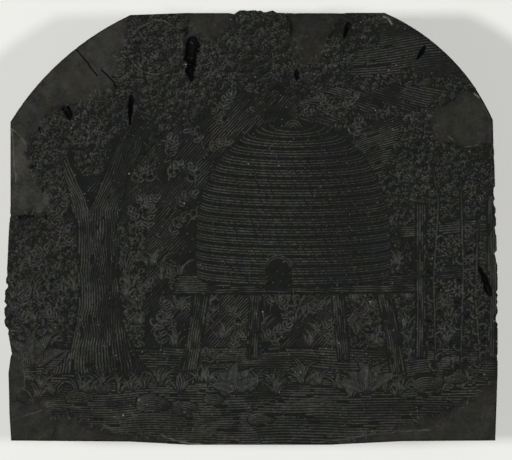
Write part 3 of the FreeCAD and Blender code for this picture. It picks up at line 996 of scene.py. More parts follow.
def cut_middle_ground():
    """The flowers, the hive on its stool, the tree, the fence and the bees."""
    cut_flowers()
    cut_hive()
    cut_boards(PLANK_SHARES)
    cut_boards(LEG_SHARES, upright=True)
    cut_trunk()
    cut_boards(POST_SHARES, upright=True)
    cut_boards(RAIL_SHARES)
    cut_bees()


# The background: the size of leafy lobes, the tone of leaves and how far it swings
CANOPY_LOBE = 1.5
HEDGE_LOBE = 1.3
HEDGEROW_LOBE = 1.2
LEAF_TONE = 0.95
PALE_LEAF_TONE = 1.0
LEAF_SWING = 0.4
SMALL_LEAF_SWING = 0.35
CLUMP_SWING = 0.25
CLUMP_SHIFT = 2
CANOPY_STROKE = (0.165, 0.235)
HEDGEROW_STROKE = (0.19, 0.27)
CROWN_MIDDLE = 30
CROWN_FADE = 0.02

# Where its parts begin and end, in millimetres from the middle
THICKET_LOW = -25
THICKET_SIDE = 20
THICKET_STEP = -9
THICKET_GAPS = -0.55
SPRAYS_APART = 3.7
SPRAY_TURNS = 6
GROUND_TOP = -20.5
BEHIND_SPAN = (-24, -6)
BEHIND_APART = 3.0
LEFT_END = -18
LEFT_TOP = 1
HEDGE_START = 16
HEDGE_TOP = 7.5
HEDGE_SWELL = 1.6
HEDGE_WAVE = 2.6
HEDGE_RAGGED = 0.8
HILL_START = 8
HILL_FOOT = 6
HILL_SWELL = 1.1
HILL_WAVE = 3.7
FURROW_TURN = 2.4
SKY_EVEN = 0.9
SKY_UNEVEN = 0.35
SKY_STRETCH = 0.4
SKY_TURN = 0.1
SHADOW_TURN = 0.85


def leafy(region, name, lobe, middle, swing, *stroke):
    """Fills a region with leaves whose tone passes from light to dark in patches."""

    def tone(x, y):
        return middle + swing * uneven(name, x, y)

    foliage(region, lobe, tone, *stroke)
    face.claim(region)


def cut_background():
    """The canopy, the dark thicket with its pale twigs, the hedge, the fields and the sky."""
    x, y = face.grid_x, face.grid_y

    def canopy_tone(x, y):
        clumps = CLUMP_SWING * uneven("canopy_clumps", x + CLUMP_SHIFT, y - CLUMP_SHIFT)
        return PALE_LEAF_TONE + LEAF_SWING * uneven("canopy_masses", x, y) + clumps

    def crown_tone(x, y):
        return LEAF_TONE - CROWN_FADE * (x - CROWN_MIDDLE) + SMALL_LEAF_SWING * uneven("crown_leaves", x, y)

    def sky_veil(x, y):
        return SKY_EVEN + SKY_UNEVEN * uneven("sky_tone", x * SKY_STRETCH, y)

    canopy = face.filled(ragged(placed(CANOPY_SHARES), *CANOPY_EDGE)) & face.free
    foliage(canopy, CANOPY_LOBE, canopy_tone, *CANOPY_STROKE)
    face.claim(canopy)
    face.settle(1)
    thicket = face.free & (y > THICKET_LOW) & (y < THICKET_SIDE) & ((x < THICKET_SIDE) | (y < THICKET_STEP))
    thicket = thicket & (uneven("thicket_gaps", x, y) > THICKET_GAPS)
    in_turn(sprays, scatter(thicket, SPRAYS_APART), SPRAY_TURNS)
    cut_field(face.free & (y < GROUND_TOP), "ground")
    low, high = BEHIND_SPAN
    in_turn(tufts, scatter(face.free & (y < high) & (y > low), BEHIND_APART))
    left = face.free & (x < LEFT_END) & (y < LEFT_TOP)
    leafy(left, "left_leaves", HEDGE_LOBE, PALE_LEAF_TONE, LEAF_SWING)
    crown = face.filled(ragged(placed(CROWN_SHARES), *CROWN_EDGE)) & face.free
    foliage(crown, HEDGE_LOBE, crown_tone)
    face.claim(crown)
    hedge_top = HEDGE_TOP + HEDGE_SWELL * np.sin(x / HEDGE_WAVE) + HEDGE_RAGGED * uneven("hedge_top", x, y)
    hedge = face.free & (x > HEDGE_START) & (y < hedge_top)
    leafy(hedge, "hedge_leaves", HEDGE_LOBE, LEAF_TONE, LEAF_SWING)
    hillside = face.free & (x > HILL_START) & (y > HILL_FOOT)
    for number, (height_share, slope) in enumerate(HEDGEROW_SHARES):
        crest = height_share * WIDTH + slope * x + HILL_SWELL * np.sin(x / HILL_WAVE + 2 * number)
        crest = crest + uneven("hedgerow_top", x, y, number)
        field = hillside & face.free & (y < crest - HEDGEROW_HEIGHT)
        cut_field(field, "hillside", FURROW_TURN * slope, number)
        hedgerow = hillside & face.free & (y < crest)
        leafy(hedgerow, "hedgerow_leaves", HEDGEROW_LOBE, LEAF_TONE, SMALL_LEAF_SWING, *HEDGEROW_STROKE)
    cut_field(face.free & (x > HILL_START) & (y > HILL_FOOT), "sky", SKY_TURN, veil=sky_veil)
    face.settle(1)
    cut_field(face.free, "shadow", SHADOW_TURN)


# Scraped floors: how their outlines wander, the facets and fibres that the tool leaves, and grime with
# painted shade near the picture
CLEARING_EDGES = ((0.15, 0.7, 1.5, 60), (0.1, 0.42, 0.6, 80))
RISE_END = -1
FACET_WIDTH = 0.8
FACET_BEND = 1.6
FACET_SKEW = 0.12
FACET_DARK = 0.22
FACET_EVEN = 0.6
FACET_UNEVEN = 0.4
GRIME_AND_SHADE_UNEVEN = 0.6
RIPPLE = 0.03
RIPPLE_STRETCH = 0.35
RIPPLE_SKEWS = (0.2, 0.3)
SWELL = 0.05
FIBRE_PATCHES = 0.4
PAINTED_SHEEN_EVEN = 0.6
PAINTED_SHEEN_UNEVEN = 0.7
PAINTED_SHEEN_STRETCH = 0.6
PAINTED_SHEEN_SPECKS = 0.4


def turned(middle, angle):
    """The lattice's places along and across a direction, from a middle point."""
    x, y = face.grid_x - middle[0], face.grid_y - middle[1]
    return x * math.cos(angle) + y * math.sin(angle), y * math.cos(angle) - x * math.sin(angle)


def clear_ground():
    """Scrapes away the ground beside the picture, on floors that fall towards the edges."""
    x, y = face.grid_x, face.grid_y
    floor, cleaned = np.full(face.shape, np.inf), np.zeros(face.shape)
    painted_sheen_layer = np.zeros(face.shape)
    slope = math.tan(math.radians(CLEARING_SLOPE_DEGREES))
    for number, (hinge, fall_degrees, plan) in enumerate(CLEARING_SHARES):
        down, side = turned(placed(hinge), math.radians(fall_degrees))
        bend = FACET_BEND * uneven("scrape_facets", x, y, number)
        facets = np.abs(np.sin(side / FACET_WIDTH + bend + FACET_SKEW * down))
        sunk = CLEARING_DEPTH + slope * np.maximum(down, RISE_END) + SCRAPE_MARK * facets
        outline = placed(plan)
        for step, reach, size, seed in CLEARING_EDGES:
            outline = ragged(outline, step, reach, size, seed + number)
        here = face.filled(outline)
        floor = np.minimum(floor, np.where(here, sunk, np.inf))
        clean, painted_sheen = CLEANED_SHARES[number]
        dark = FACET_DARK * facets * (FACET_EVEN + FACET_UNEVEN * uneven("scrape_tone", x, y))
        cleaned = np.where(here, np.maximum(cleaned, clean * (1 - dark)), cleaned)
        painted_sheen_layer = np.where(here, np.maximum(painted_sheen_layer, painted_sheen), painted_sheen_layer)
    floor[cleaned == 0] = CLEARING_DEPTH
    # Grime and painted shade: the scraped floor darkens towards the picture's edge
    near, grime_and_shade = cleaned == 0, np.zeros(face.shape)
    for _ in range(GRIME_AND_SHADE_CELLS):
        grime_and_shade += near / GRIME_AND_SHADE_CELLS
        near = grown(near, 1)
    cleaned = cleaned * (1 - GRIME_AND_SHADE * grime_and_shade * (1 + GRIME_AND_SHADE_UNEVEN * uneven("grime_and_shade", x, y)))
    region = softened((cleaned > 0).astype(float), CLEARING_BLUR)
    skew_x, skew_y = RIPPLE_SKEWS
    scrape = RIPPLE * uneven("floor_ripple", x * RIPPLE_STRETCH + y * skew_x, y - x * skew_y)
    scrape = scrape + SWELL * uneven("floor_swell", x, y)
    fibres = uneven("fibre", x, y) + FIBRE_PATCHES * uneven("fibre_patches", x, y)
    scrape = scrape + FIBRE_MARK * np.clip(fibres, 0, 1)
    face.floor = softened(floor, 1) * region
    face.cut = face.cut * (1 - region) + face.floor + scrape * region
    face.bare = softened(cleaned, CLEARING_BLUR)
    # Painted sheen on some scraped floors, in streaks and specks
    shine = PAINTED_SHEEN_EVEN + PAINTED_SHEEN_UNEVEN * uneven("painted_sheen", x, y * PAINTED_SHEEN_STRETCH)
    shine = shine + PAINTED_SHEEN_SPECKS * uneven("painted_sheen_specks", x, y)
    face.wear_and_highlight = painted_sheen_layer * np.clip(shine, 0, 2)


# Nicks, and painted highlights on slivers, where the picture breaks off, and painted glints and scratches on
# the scraped ground
NICKS_APART = 0.3
NICK_SPREAD = 0.4
NICK_TURN_SPREAD = 0.45
NICK_LENGTHS = (0.5, 1.4)
BARE_FROM = 0.3
INKED_UNDER = 0.1
NICK_CHANCE_TOP_LEFT = 0.16
NICK_CHANCE = 0.04
NICK_WIDTH = 0.36
SLIVER_WIDTH = 0.16
SLIVER_LIGHT = 0.17
NICK_BOW_SPREAD = 0.12
NICK_END_SHARE = 0.25
NICK_WIDTH_SHARES = (0.5, 1.2)
BAND_FROM = 0.2
GLINTS_APART = 0.55
GLINT_REACH = 0.03
GLINT_LIGHT = 0.2
SCRATCHES_APART = 1.2
SCRATCH_TURN = 0.6
SCRATCH_TURN_SWING = 1.1
SCRATCH_TURN_SPREAD = 0.12
SCRATCH_LENGTHS = (0.4, 2.6)
SCRATCH_BOW_SPREAD = 0.02
SCRATCH_REACH = 0.04


def nick_edges():
    """Small nicks, and painted highlights on slivers, where the picture breaks off at the scraped ground;
    painted glints and scratches.
    """
    rise_y, rise_x = np.gradient(softened(face.bare, EDGE_BLUR))
    for _, _, plan in CLEARING_SHARES:
        spots = resampled(placed(plan), NICKS_APART)
        spots = spots + rng.normal(0, NICK_SPREAD, spots.shape)
        row, column, known = face.cell(spots)
        spots, row, column = spots[known], row[known], column[known]
        out = np.arctan2(-rise_y[row, column], -rise_x[row, column])
        turn = out + rng.normal(0, NICK_TURN_SPREAD, len(spots))
        tip = towards(spots[:, 0], spots[:, 1], turn, rng.uniform(*NICK_LENGTHS, len(spots)))
        keep = (face.bare[row, column] > BARE_FROM) & face.at(face.bare < INKED_UNDER, tip)
        top_left = (spots[:, 1] > 0) & (spots[:, 0] < 0)
        chance = np.where(top_left, NICK_CHANCE_TOP_LEFT, NICK_CHANCE)
        deep = keep & (rng.uniform(0, 1, len(spots)) < chance)
        # Deep nicks are cut into the face; the other slivers become painted highlights
        for chosen, layer, wide, high in (
            (deep, face.cut, NICK_WIDTH, NICK_DEPTH),
            (keep & ~deep, face.wear_and_highlight, SLIVER_WIDTH, SLIVER_LIGHT),
        ):
            strokes = bows(spots[chosen], tip[chosen], rng.normal(0, NICK_BOW_SPREAD, chosen.sum()))
            taper = np.linspace(1, NICK_END_SHARE, strokes.shape[1])
            half = rng.uniform(*NICK_WIDTH_SHARES, len(strokes))[:, None] * taper * wide / 2
            face.stamp(layer, strokes.reshape(-1, 2), half.ravel(), (half * 2 / wide * high).ravel())
    # Painted glints along the edges of the scraped ground
    glints = scatter((face.bare > BAND_FROM) & grown(face.bare < INKED_UNDER, EDGE_BAND), GLINTS_APART)
    light = GLINT_LIGHT * rng.uniform(0, 1, len(glints)) ** 3
    face.stamp(face.wear_and_highlight, glints, np.full(len(glints), GLINT_REACH), light)
    scratches = scatter(face.bare > 0.5, SCRATCHES_APART)
    swing = SCRATCH_TURN_SWING * uneven("scratch_turn", scratches[:, 0], scratches[:, 1])
    turn = SCRATCH_TURN + swing + rng.normal(0, SCRATCH_TURN_SPREAD, len(scratches))
    tips = towards(*scratches.T, turn, rng.uniform(*SCRATCH_LENGTHS, len(turn)))
    strokes = bows(scratches, tips, rng.normal(0, SCRATCH_BOW_SPREAD, len(turn)))
    strip = (scratches[:, 0] < STRIP_END) & (scratches[:, 1] > 0)
    strength = (rng.uniform(0, 1, len(strokes)) ** 3 * SCRATCH_LIGHT * (1 + strip))[:, None]
    strength = np.broadcast_to(strength, strokes.shape[:2]).ravel()
    face.stamp(face.wear_and_highlight, strokes.reshape(-1, 2), np.full(len(strength), SCRATCH_REACH), strength)


# The shape of a scoop: how it wavers, widens along its way and tears
SCOOP_WAVER = 0.3
SCOOP_FIBRES = 0.2
SCOOP_STRETCH = 0.3
SCOOP_BELLY = 1.1
SCOOP_WIDENS = 0.7
SCOOP_LEAST = 0.1


def scoop_out():
    """The deep scoops of the gouge."""
    x, y = face.grid_x, face.grid_y
    opening = math.sqrt(1 - SCOOP_LIFT_SHARE**2)
    for number, (place, degrees, (length, width, depth), torn) in enumerate(GOUGE_SHARES):
        along, across = turned(placed(place), math.radians(degrees))
        waver = SCOOP_WAVER * uneven("scoop_side", x, y, number)
        across = across + width * (waver + SCOOP_FIBRES * uneven("scoop_fibres", x, y, number))
        long = GOUGE_LENGTH * length / 2 / opening
        teeth = 1 + torn * uneven("scoop_teeth", along, across * SCOOP_STRETCH, number)
        wide = GOUGE_WIDTH * width / 2 / opening * (SCOOP_BELLY + SCOOP_WIDENS * along / long)
        wide = wide * np.maximum(teeth, SCOOP_LEAST)
        upright = GOUGE_DEPTH * depth / (1 - SCOOP_LIFT_SHARE)
        round_share = np.clip(1 - (along / long) ** 2 - (across / wide) ** 2, 0, 1)
        face.cut = np.maximum(face.cut, upright * (np.sqrt(round_share) - SCOOP_LIFT_SHARE))


CHECK_BOW = 0.02
CHECK_WOBBLE = 0.07
CHECK_NARROWS = 0.3
CHECK_MOUTH_PARTS = 6


def split():
    """The shrinkage check."""
    for place, degrees, length, mouth in CHECK_SHARES:
        start = placed(place)[None]
        end = towards(start[:, 0], start[:, 1], math.radians(degrees), CHECK_LENGTH * length)
        line = bows(start, end, CHECK_BOW)[0]
        line = line + CHECK_WOBBLE * uneven("check_wobble", line, line[:, ::-1])
        share = np.linspace(0, 1, len(line))
        gape = 1 - CHECK_NARROWS * share + mouth * eased(1 - CHECK_MOUTH_PARTS * share)
        depth = CHECK_SHOWN_DEPTH + face.floor[face.cell(line)[:2]]
        face.stamp(face.cut, line, CHECK_OPENING / 2 * gape, depth)


PITS = 110
PIT_REACHES = (0.08, 0.2)
PIT_DEPTH_SHARE = 1.4
FRINGE_JITTER = 0.8
FRINGE_SIZES = (0.45, 1)
FRINGE_LEAN_SPREAD = 0.06
FRINGE_BOW = 0.08
FRINGE_BOW_SPREAD = 0.02
FRINGE_END_SHARE = 0.15


def pit_and_fray():
    """Pits all over the face, and the torn fringe below the scraped strip."""
    pits = rng.uniform(-0.5, 0.5, (PITS, 2)) * (LENGTH, WIDTH)
    reach = rng.uniform(*PIT_REACHES, len(pits))
    face.stamp(face.cut, pits, reach, reach * PIT_DEPTH_SHARE + face.floor[face.cell(pits)[:2]])
    start, end = placed(FRINGE_SHARES)
    share = (np.arange(FRINGE_TEETH) + rng.uniform(0, FRINGE_JITTER, FRINGE_TEETH)) / FRINGE_TEETH
    roots = start + (end - start) * share[:, None]
    size = rng.uniform(*FRINGE_SIZES, FRINGE_TEETH)
    lean = rng.normal(FRINGE_LEAN, FRINGE_LEAN_SPREAD, FRINGE_TEETH) - math.pi / 2
    tips = towards(*roots.T, lean, FRINGE_LENGTH * size)
    teeth = bows(roots, tips, rng.normal(FRINGE_BOW, FRINGE_BOW_SPREAD, FRINGE_TEETH))
    reach = FRINGE_WIDTH / 2 * size[:, None] * np.linspace(1, FRINGE_END_SHARE, teeth.shape[1])
    face.stamp(face.cut, teeth.reshape(-1, 2), reach.ravel(), (NICK_DEPTH * reach / FRINGE_WIDTH * 2).ravel())


PALE_LINE_WOBBLE = 0.1
PALE_LINE_EVEN = 0.8
PALE_LINE_LOSS = 0.2
PALE_LINE_WIDTH_SHARES = (0.4, 0.6)
SEAM_POINTS = 900
SEAM_WOBBLE = 0.03
SEAM_EVEN = 0.6
SEAM_UNEVEN = 0.8
SPECK_ON_BARE = 0.7
SPECK_REACH_SHARES = (0.55, 0.75)


def mark_wear_and_highlights():
    """Rubbed edges and scratches, painted highlights on edges and round the plug's seam, and specks of bare
    wood and dust with painted glints among them.
    """
    least, more = PALE_LINE_WIDTH_SHARES
    # Rubbed edges and scratches, and painted highlights along edges and by the plug's seam
    for shares, width, strength, gaps in WEAR_AND_HIGHLIGHT_SHARES:
        line = polyline(placed(shares))[0]
        line = line + PALE_LINE_WOBBLE * uneven("pale_line_wobble", line, line[:, ::-1])
        unbroken = PALE_LINE_EVEN - PALE_LINE_LOSS * gaps + gaps * uneven("pale_line_gaps", line[:, 0], line[:, 1])
        broken = strength * np.clip(unbroken, 0, 1)
        face.stamp(face.wear_and_highlight, line, width / 2 * (least + more * broken / strength), broken)
    # A painted highlight round the plug's seam, broken in places
    turn = np.linspace(0, 2 * math.pi, SEAM_POINTS, endpoint=False)
    cos, sin = np.cos(turn), np.sin(turn)
    seam = towards(*PLUG_MIDDLE, turn, PLUG_RADIUS + SEAM_WOBBLE * uneven("seam_wobble", cos, sin))
    glint = SEAM_LIGHT * np.clip(SEAM_EVEN + SEAM_UNEVEN * uneven("seam_glint", cos, sin), 0, 1)
    face.stamp(face.wear_and_highlight, seam, np.full(len(seam), SEAM_LIGHT_HALF), glint)
    # Specks of bare wood and dust, partly painted glints, fewer on the scraped ground
    specks = rng.uniform(-0.5, 0.5, (SPECKS, 2)) * (LENGTH, WIDTH)
    strength = np.minimum(SPECK_LEAST * rng.uniform(0, 1, SPECKS) ** -SPECK_RISE, 1)
    strength = strength * (1 - SPECK_ON_BARE * face.bare[face.cell(specks)[:2]])
    least, more = SPECK_REACH_SHARES
    face.stamp(face.wear_and_highlight, specks, SPECK_REACH * (least + more * strength), strength)


class Skin:
    """A closed mesh in the making, with a few facts and a bake map place for its corners."""

    FACTS = ("groove", "bare", "wear_and_highlight", "deep", "side")

    def __init__(self):
        self.points, self.facts, self.quads, self.quad_maps = [], [], [], []
        self.ngons, self.ngon_maps, self.count = [], [], 0

    def add(self, points, facts):
        """Adds points and returns their numbers."""
        self.points.append(points)
        self.facts.append(facts)
        self.count += len(points)
        return np.arange(self.count - len(points), self.count)

    def wall(self, rim, top, rings, facts, sheet, corner, rows=1):
        """Hangs rings of points from a rim, with the outside on the right of the rim's way.

        On the bake map the wall is laid out in this many rows. Returns the numbers of the last ring.
        """
        step = np.hypot(*(np.roll(top[:, :2], -1, axis=0) - top[:, :2]).T)
        start = np.cumsum(step) - step
        row_length = step.sum() / rows
        row = np.floor(start / row_length)
        height = top[:, 2].mean() - rings[-1][:, 2].mean()
        left = corner[0] + start - row * row_length
        base = corner[1] + row * (height + MARGIN)
        upper, upper_level = rim, top[:, 2].mean()
        for ring, fact in zip(rings, facts):
            lower, lower_level = self.add(ring, fact), ring[:, 2].mean()
            self.quads.append(np.column_stack([upper, lower, np.roll(lower, -1), np.roll(upper, -1)]))
            high = base + upper_level - rings[-1][:, 2].mean()
            low = base + lower_level - rings[-1][:, 2].mean()
            corners = ((left, high), (left, low), (left + step, low), (left + step, high))
            self.quad_maps.append(np.stack([np.column_stack(place) for place in corners], axis=1) / sheet)
            upper, upper_level = lower, lower_level
        return upper

    def lid(self, ring, points, sheet, corner, scale=1.0):
        """Closes a ring of points with one face."""
        self.ngons.append(ring)
        places = (points[:, :2] - points[:, :2].min(axis=0)) * scale + corner
        self.ngon_maps.append(places / sheet)

    def mesh(self, name, bake_map=True):
        """The Blender mesh."""
        points = np.vstack(self.points) * MM
        quads = np.vstack(self.quads)
        corners = np.concatenate([quads.ravel(), *self.ngons])
        sizes = np.concatenate([np.full(len(quads), 4), [len(ring) for ring in self.ngons]]).astype(int)
        starts = np.concatenate([[0], np.cumsum(sizes)[:-1]])
        mesh = bpy.data.meshes.new(name)
        mesh.vertices.add(len(points))
        mesh.vertices.foreach_set("co", points.ravel())
        mesh.loops.add(len(corners))
        mesh.loops.foreach_set("vertex_index", corners)
        mesh.polygons.add(len(sizes))
        mesh.polygons.foreach_set("loop_start", starts)
        mesh.polygons.foreach_set("use_smooth", sizes == 4)
        if bake_map:
            places = np.vstack([np.vstack(self.quad_maps).reshape(-1, 2), *self.ngon_maps])
            layer = mesh.uv_layers.new(name="OFBake")
            layer.data.foreach_set("uv", places.ravel())
        facts = np.vstack(self.facts)
        for number, fact in enumerate(self.FACTS):
            mesh.attributes.new(fact, "FLOAT", "POINT").data.foreach_set("value", facts[:, number])
        mesh.update(calc_edges=True)
        mesh.validate()
        return mesh


def rim_loops(cells):
    """The closed rims of a set of lattice cells, each with the cells on its left."""
    inside = np.pad(cells, 1)
    rows, columns = np.nonzero(cells)
    following = {}
    for (up, right), start, end in (
        ((-1, 0), (0, 0), (0, 1)),
        ((0, 1), (0, 1), (1, 1)),
        ((1, 0), (1, 1), (1, 0)),
        ((0, -1), (1, 0), (0, 0)),
    ):
        open_side = ~inside[rows + 1 + up, columns + 1 + right]
        for row, column in zip(rows[open_side].tolist(), columns[open_side].tolist()):
            following[(row + start[0], column + start[1])] = (row + end[0], column + end[1])
    loops = []
    while following:
        start, corner = following.popitem()
        loop = [start]
        while corner != start:
            loop.append(corner)
            corner = following.pop(corner)
        loops.append(np.array(loop))
    return sorted(loops, key=len, reverse=True)


def without_pinches(cells):
    """Fills cells until no two of them meet at a corner alone."""
    cells = cells.copy()
    while True:
        a, b, c, d = cells[:-1, :-1], cells[:-1, 1:], cells[1:, :-1], cells[1:, 1:]
        rising, falling = a & d & ~b & ~c, b & c & ~a & ~d
        if not (rising | falling).any():
            return cells
        cells[:-1, 1:] |= rising
        cells[:-1, :-1] |= falling


def snapped(points, ring):
    """Where an anticlockwise rim's points go on a finely divided ring, as numbers along it."""
    nearest = np.array([np.argmin(((ring - point) ** 2).sum(axis=1)) for point in points], float)
    first = int(np.argmin(nearest))
    nearest = np.roll(nearest, -first)
    turns = 2 * math.pi / len(ring)
    place = np.unwrap(nearest * turns) / turns
    gap = LEAST_RIM_GAP / RIM_STEP * np.arange(len(place))
    return first, np.maximum.accumulate(place - gap) + gap


def along_ring(values, place):
    """Values of a ring at fractional places along it."""
    place = np.mod(place, len(values))
    low = np.floor(place).astype(int) % len(values)
    share = place - np.floor(place)
    share = share[:, None] if values.ndim > 1 else share
    return values[low] * (1 - share) + values[(low + 1) % len(values)] * share


# The bake map of each piece is a square sheet, and each surface has its own place on it.
BLOCK_SHEET = 152.0
PLUG_SHEET = 34.0
MARGIN = 1.0
FOOT_MAP_SCALE = 0.68


def corners_of(cells):
    """The lattice points that some cells touch."""
    touched = np.zeros(face.shape, bool)
    for up in (0, 1):
        for right in (0, 1):
            touched[up : up + cells.shape[0], right : right + cells.shape[1]] |= cells
    return touched


def worn_edge(cells, depths):
    """How far the surface has worn down along the rims of some cells, from the rim inwards."""
    reached = corners_of(cells) & corners_of(~cells)
    worn = np.zeros(face.shape)
    for depth in depths:
        worn = np.where(reached & (worn == 0), depth, worn)
        reached = grown(reached, 1)
    return worn


def cap(skin, cells, rings, depths, sheet):
    """Adds the part of the face that some cells cover, with its rims moved on to rings.

    Returns, for each rim, the numbers of its points, the points and their places along the ring.
    """
    used = corners_of(cells)
    number = np.full(face.shape, -1)
    number[used] = np.arange(used.sum())
    depth = (face.cut + worn_edge(cells, depths))[used]
    points = np.column_stack([face.grid_x[used], face.grid_y[used], FACE_LEVEL - depth])
    rims = []
    for loop, ring in zip(rim_loops(cells), rings):
        anticlockwise = loop if not rims else loop[::-1]
        spots = number[anticlockwise[:, 0], anticlockwise[:, 1]]
        first, place = snapped(points[spots, :2], ring)
        spots = np.roll(spots, -first)
        points[spots, :2] = along_ring(ring, place)
        rims.append((spots, points[spots], place))
    groove = np.clip((face.cut - face.floor)[used] / GROOVE_FULL_DEPTH, 0, 1)
    groove = groove * (1 - GROOVE_LOST_SHARE * face.bare[used])
    deep = softened(grown(face.cut - face.floor > DEEP_FROM, 1).astype(float), 1)[used]
    bare = face.bare[used] * (1 - np.clip(worn_edge(cells, INKED_EDGE)[used], 0, 1))
    facts = np.column_stack([groove, bare, face.wear_and_highlight[used], deep, np.zeros(len(depth))])
    skin.add(points, facts)
    rows, columns = np.nonzero(cells)
    corners = ((rows, columns), (rows, columns + 1), (rows + 1, columns + 1), (rows + 1, columns))
    quads = np.stack([number[row, column] for row, column in corners], axis=1)
    skin.quads.append(quads)
    skin.quad_maps.append((points[quads][:, :, :2] - points[:, :2].min(axis=0) + MARGIN) / sheet)
    return rims


def wall_facts(points, side, wear_and_highlight=0.0):
    """The facts of points on a wall: how much each shows of the wood's side, and how far it is rubbed."""
    values = dict.fromkeys(Skin.FACTS, 0.0) | {"wear_and_highlight": wear_and_highlight, "side": side}
    return np.column_stack([np.broadcast_to(values[fact], len(points)) for fact in Skin.FACTS])


# The silhouette's little bites, where the graver ran off the edge, how edges, walls and corners are
# worn, and from what depth a cut counts as full of residue or as deep
BITE_REACH = 0.42
PARED_FROM_SHARE = 0.64
PARED_BLEND_SHARE = 0.06
BITES_END = -24.0
RECESS_HEIGHT = 1.6
NORMAL_BLEND = 8
GROOVE_FULL_DEPTH = 0.066
GROOVE_LOST_SHARE = 0.7
DEEP_FROM = 0.16
INKED_EDGE = (0.9, 0.75, 0.4, 0.15)
EDGE_WEAR = (0.17, 0.1, 0.05, 0.02)
SEAM_WEAR = (0.05, 0.015)
SEAM_HALF = 0.025
TOOL_MARK = 0.035
DENT = 0.09
FOOT_ROUNDING = 0.12
CORNER_SPAN = 9
CORNER_TURN = 0.6
CORNER_WEAR = 0.55
FOOT_WEAR = 0.3

# How far each of these varies, and where it begins and ends
REACH_BLUR = 25
BITE_BARE = 1.5
BITE_EVEN = 0.05
BITE_SWINGS = (0.8, 0.5)
BITE_FADE = 4
CIRCLE_POINTS = 1200
CORNER_LEAST = 0.3
MARK_STRETCH = (2, 0.05)
DENT_FROM = 0.25
FOOT_ROUNDING_HEIGHT = 0.3
FOOT_WEAR_HEIGHT = 0.7
HANDLED_EVEN = 0.4
RUBBED_STARTS = 8
SIDE_STARTS = 60


def cell_middles():
    """The places of the middles of the lattice's cells, across and up."""
    return face.x[:-1] + PITCH / 2, face.y[:-1] + PITCH / 2


def plug_circle(radius):
    """A finely divided circle round the middle of the plug."""
    turn = np.linspace(0, 2 * math.pi, CIRCLE_POINTS, endpoint=False)
    return PLUG_MIDDLE + np.column_stack([np.cos(turn), np.sin(turn)]) * radius


def plug_rings(top, end, ease=0.0):
    """Rings down the tapered wall that the plug shares with its bore, and the facts of their points."""
    away = top[:, :2] - PLUG_MIDDLE
    direction = away / np.hypot(*away.T)[:, None]
    rings = []
    for radius, depth in (
        (PLUG_RADIUS, 3 * SEAM_HALF),
        (PLUG_RADIUS + (PLUG_TIP_RADIUS - PLUG_RADIUS) / 2, PLUG_DEPTH / 2),
        (PLUG_TIP_RADIUS, PLUG_DEPTH - PLUG_TIP_CHAMFER),
        end,
    ):
        level = np.minimum(FACE_LEVEL - depth, top[:, 2] - SEAM_HALF)
        rings.append(np.column_stack([PLUG_MIDDLE + direction * (radius - ease), level]))
    return rings, [wall_facts(ring, 1.0) for ring in rings]


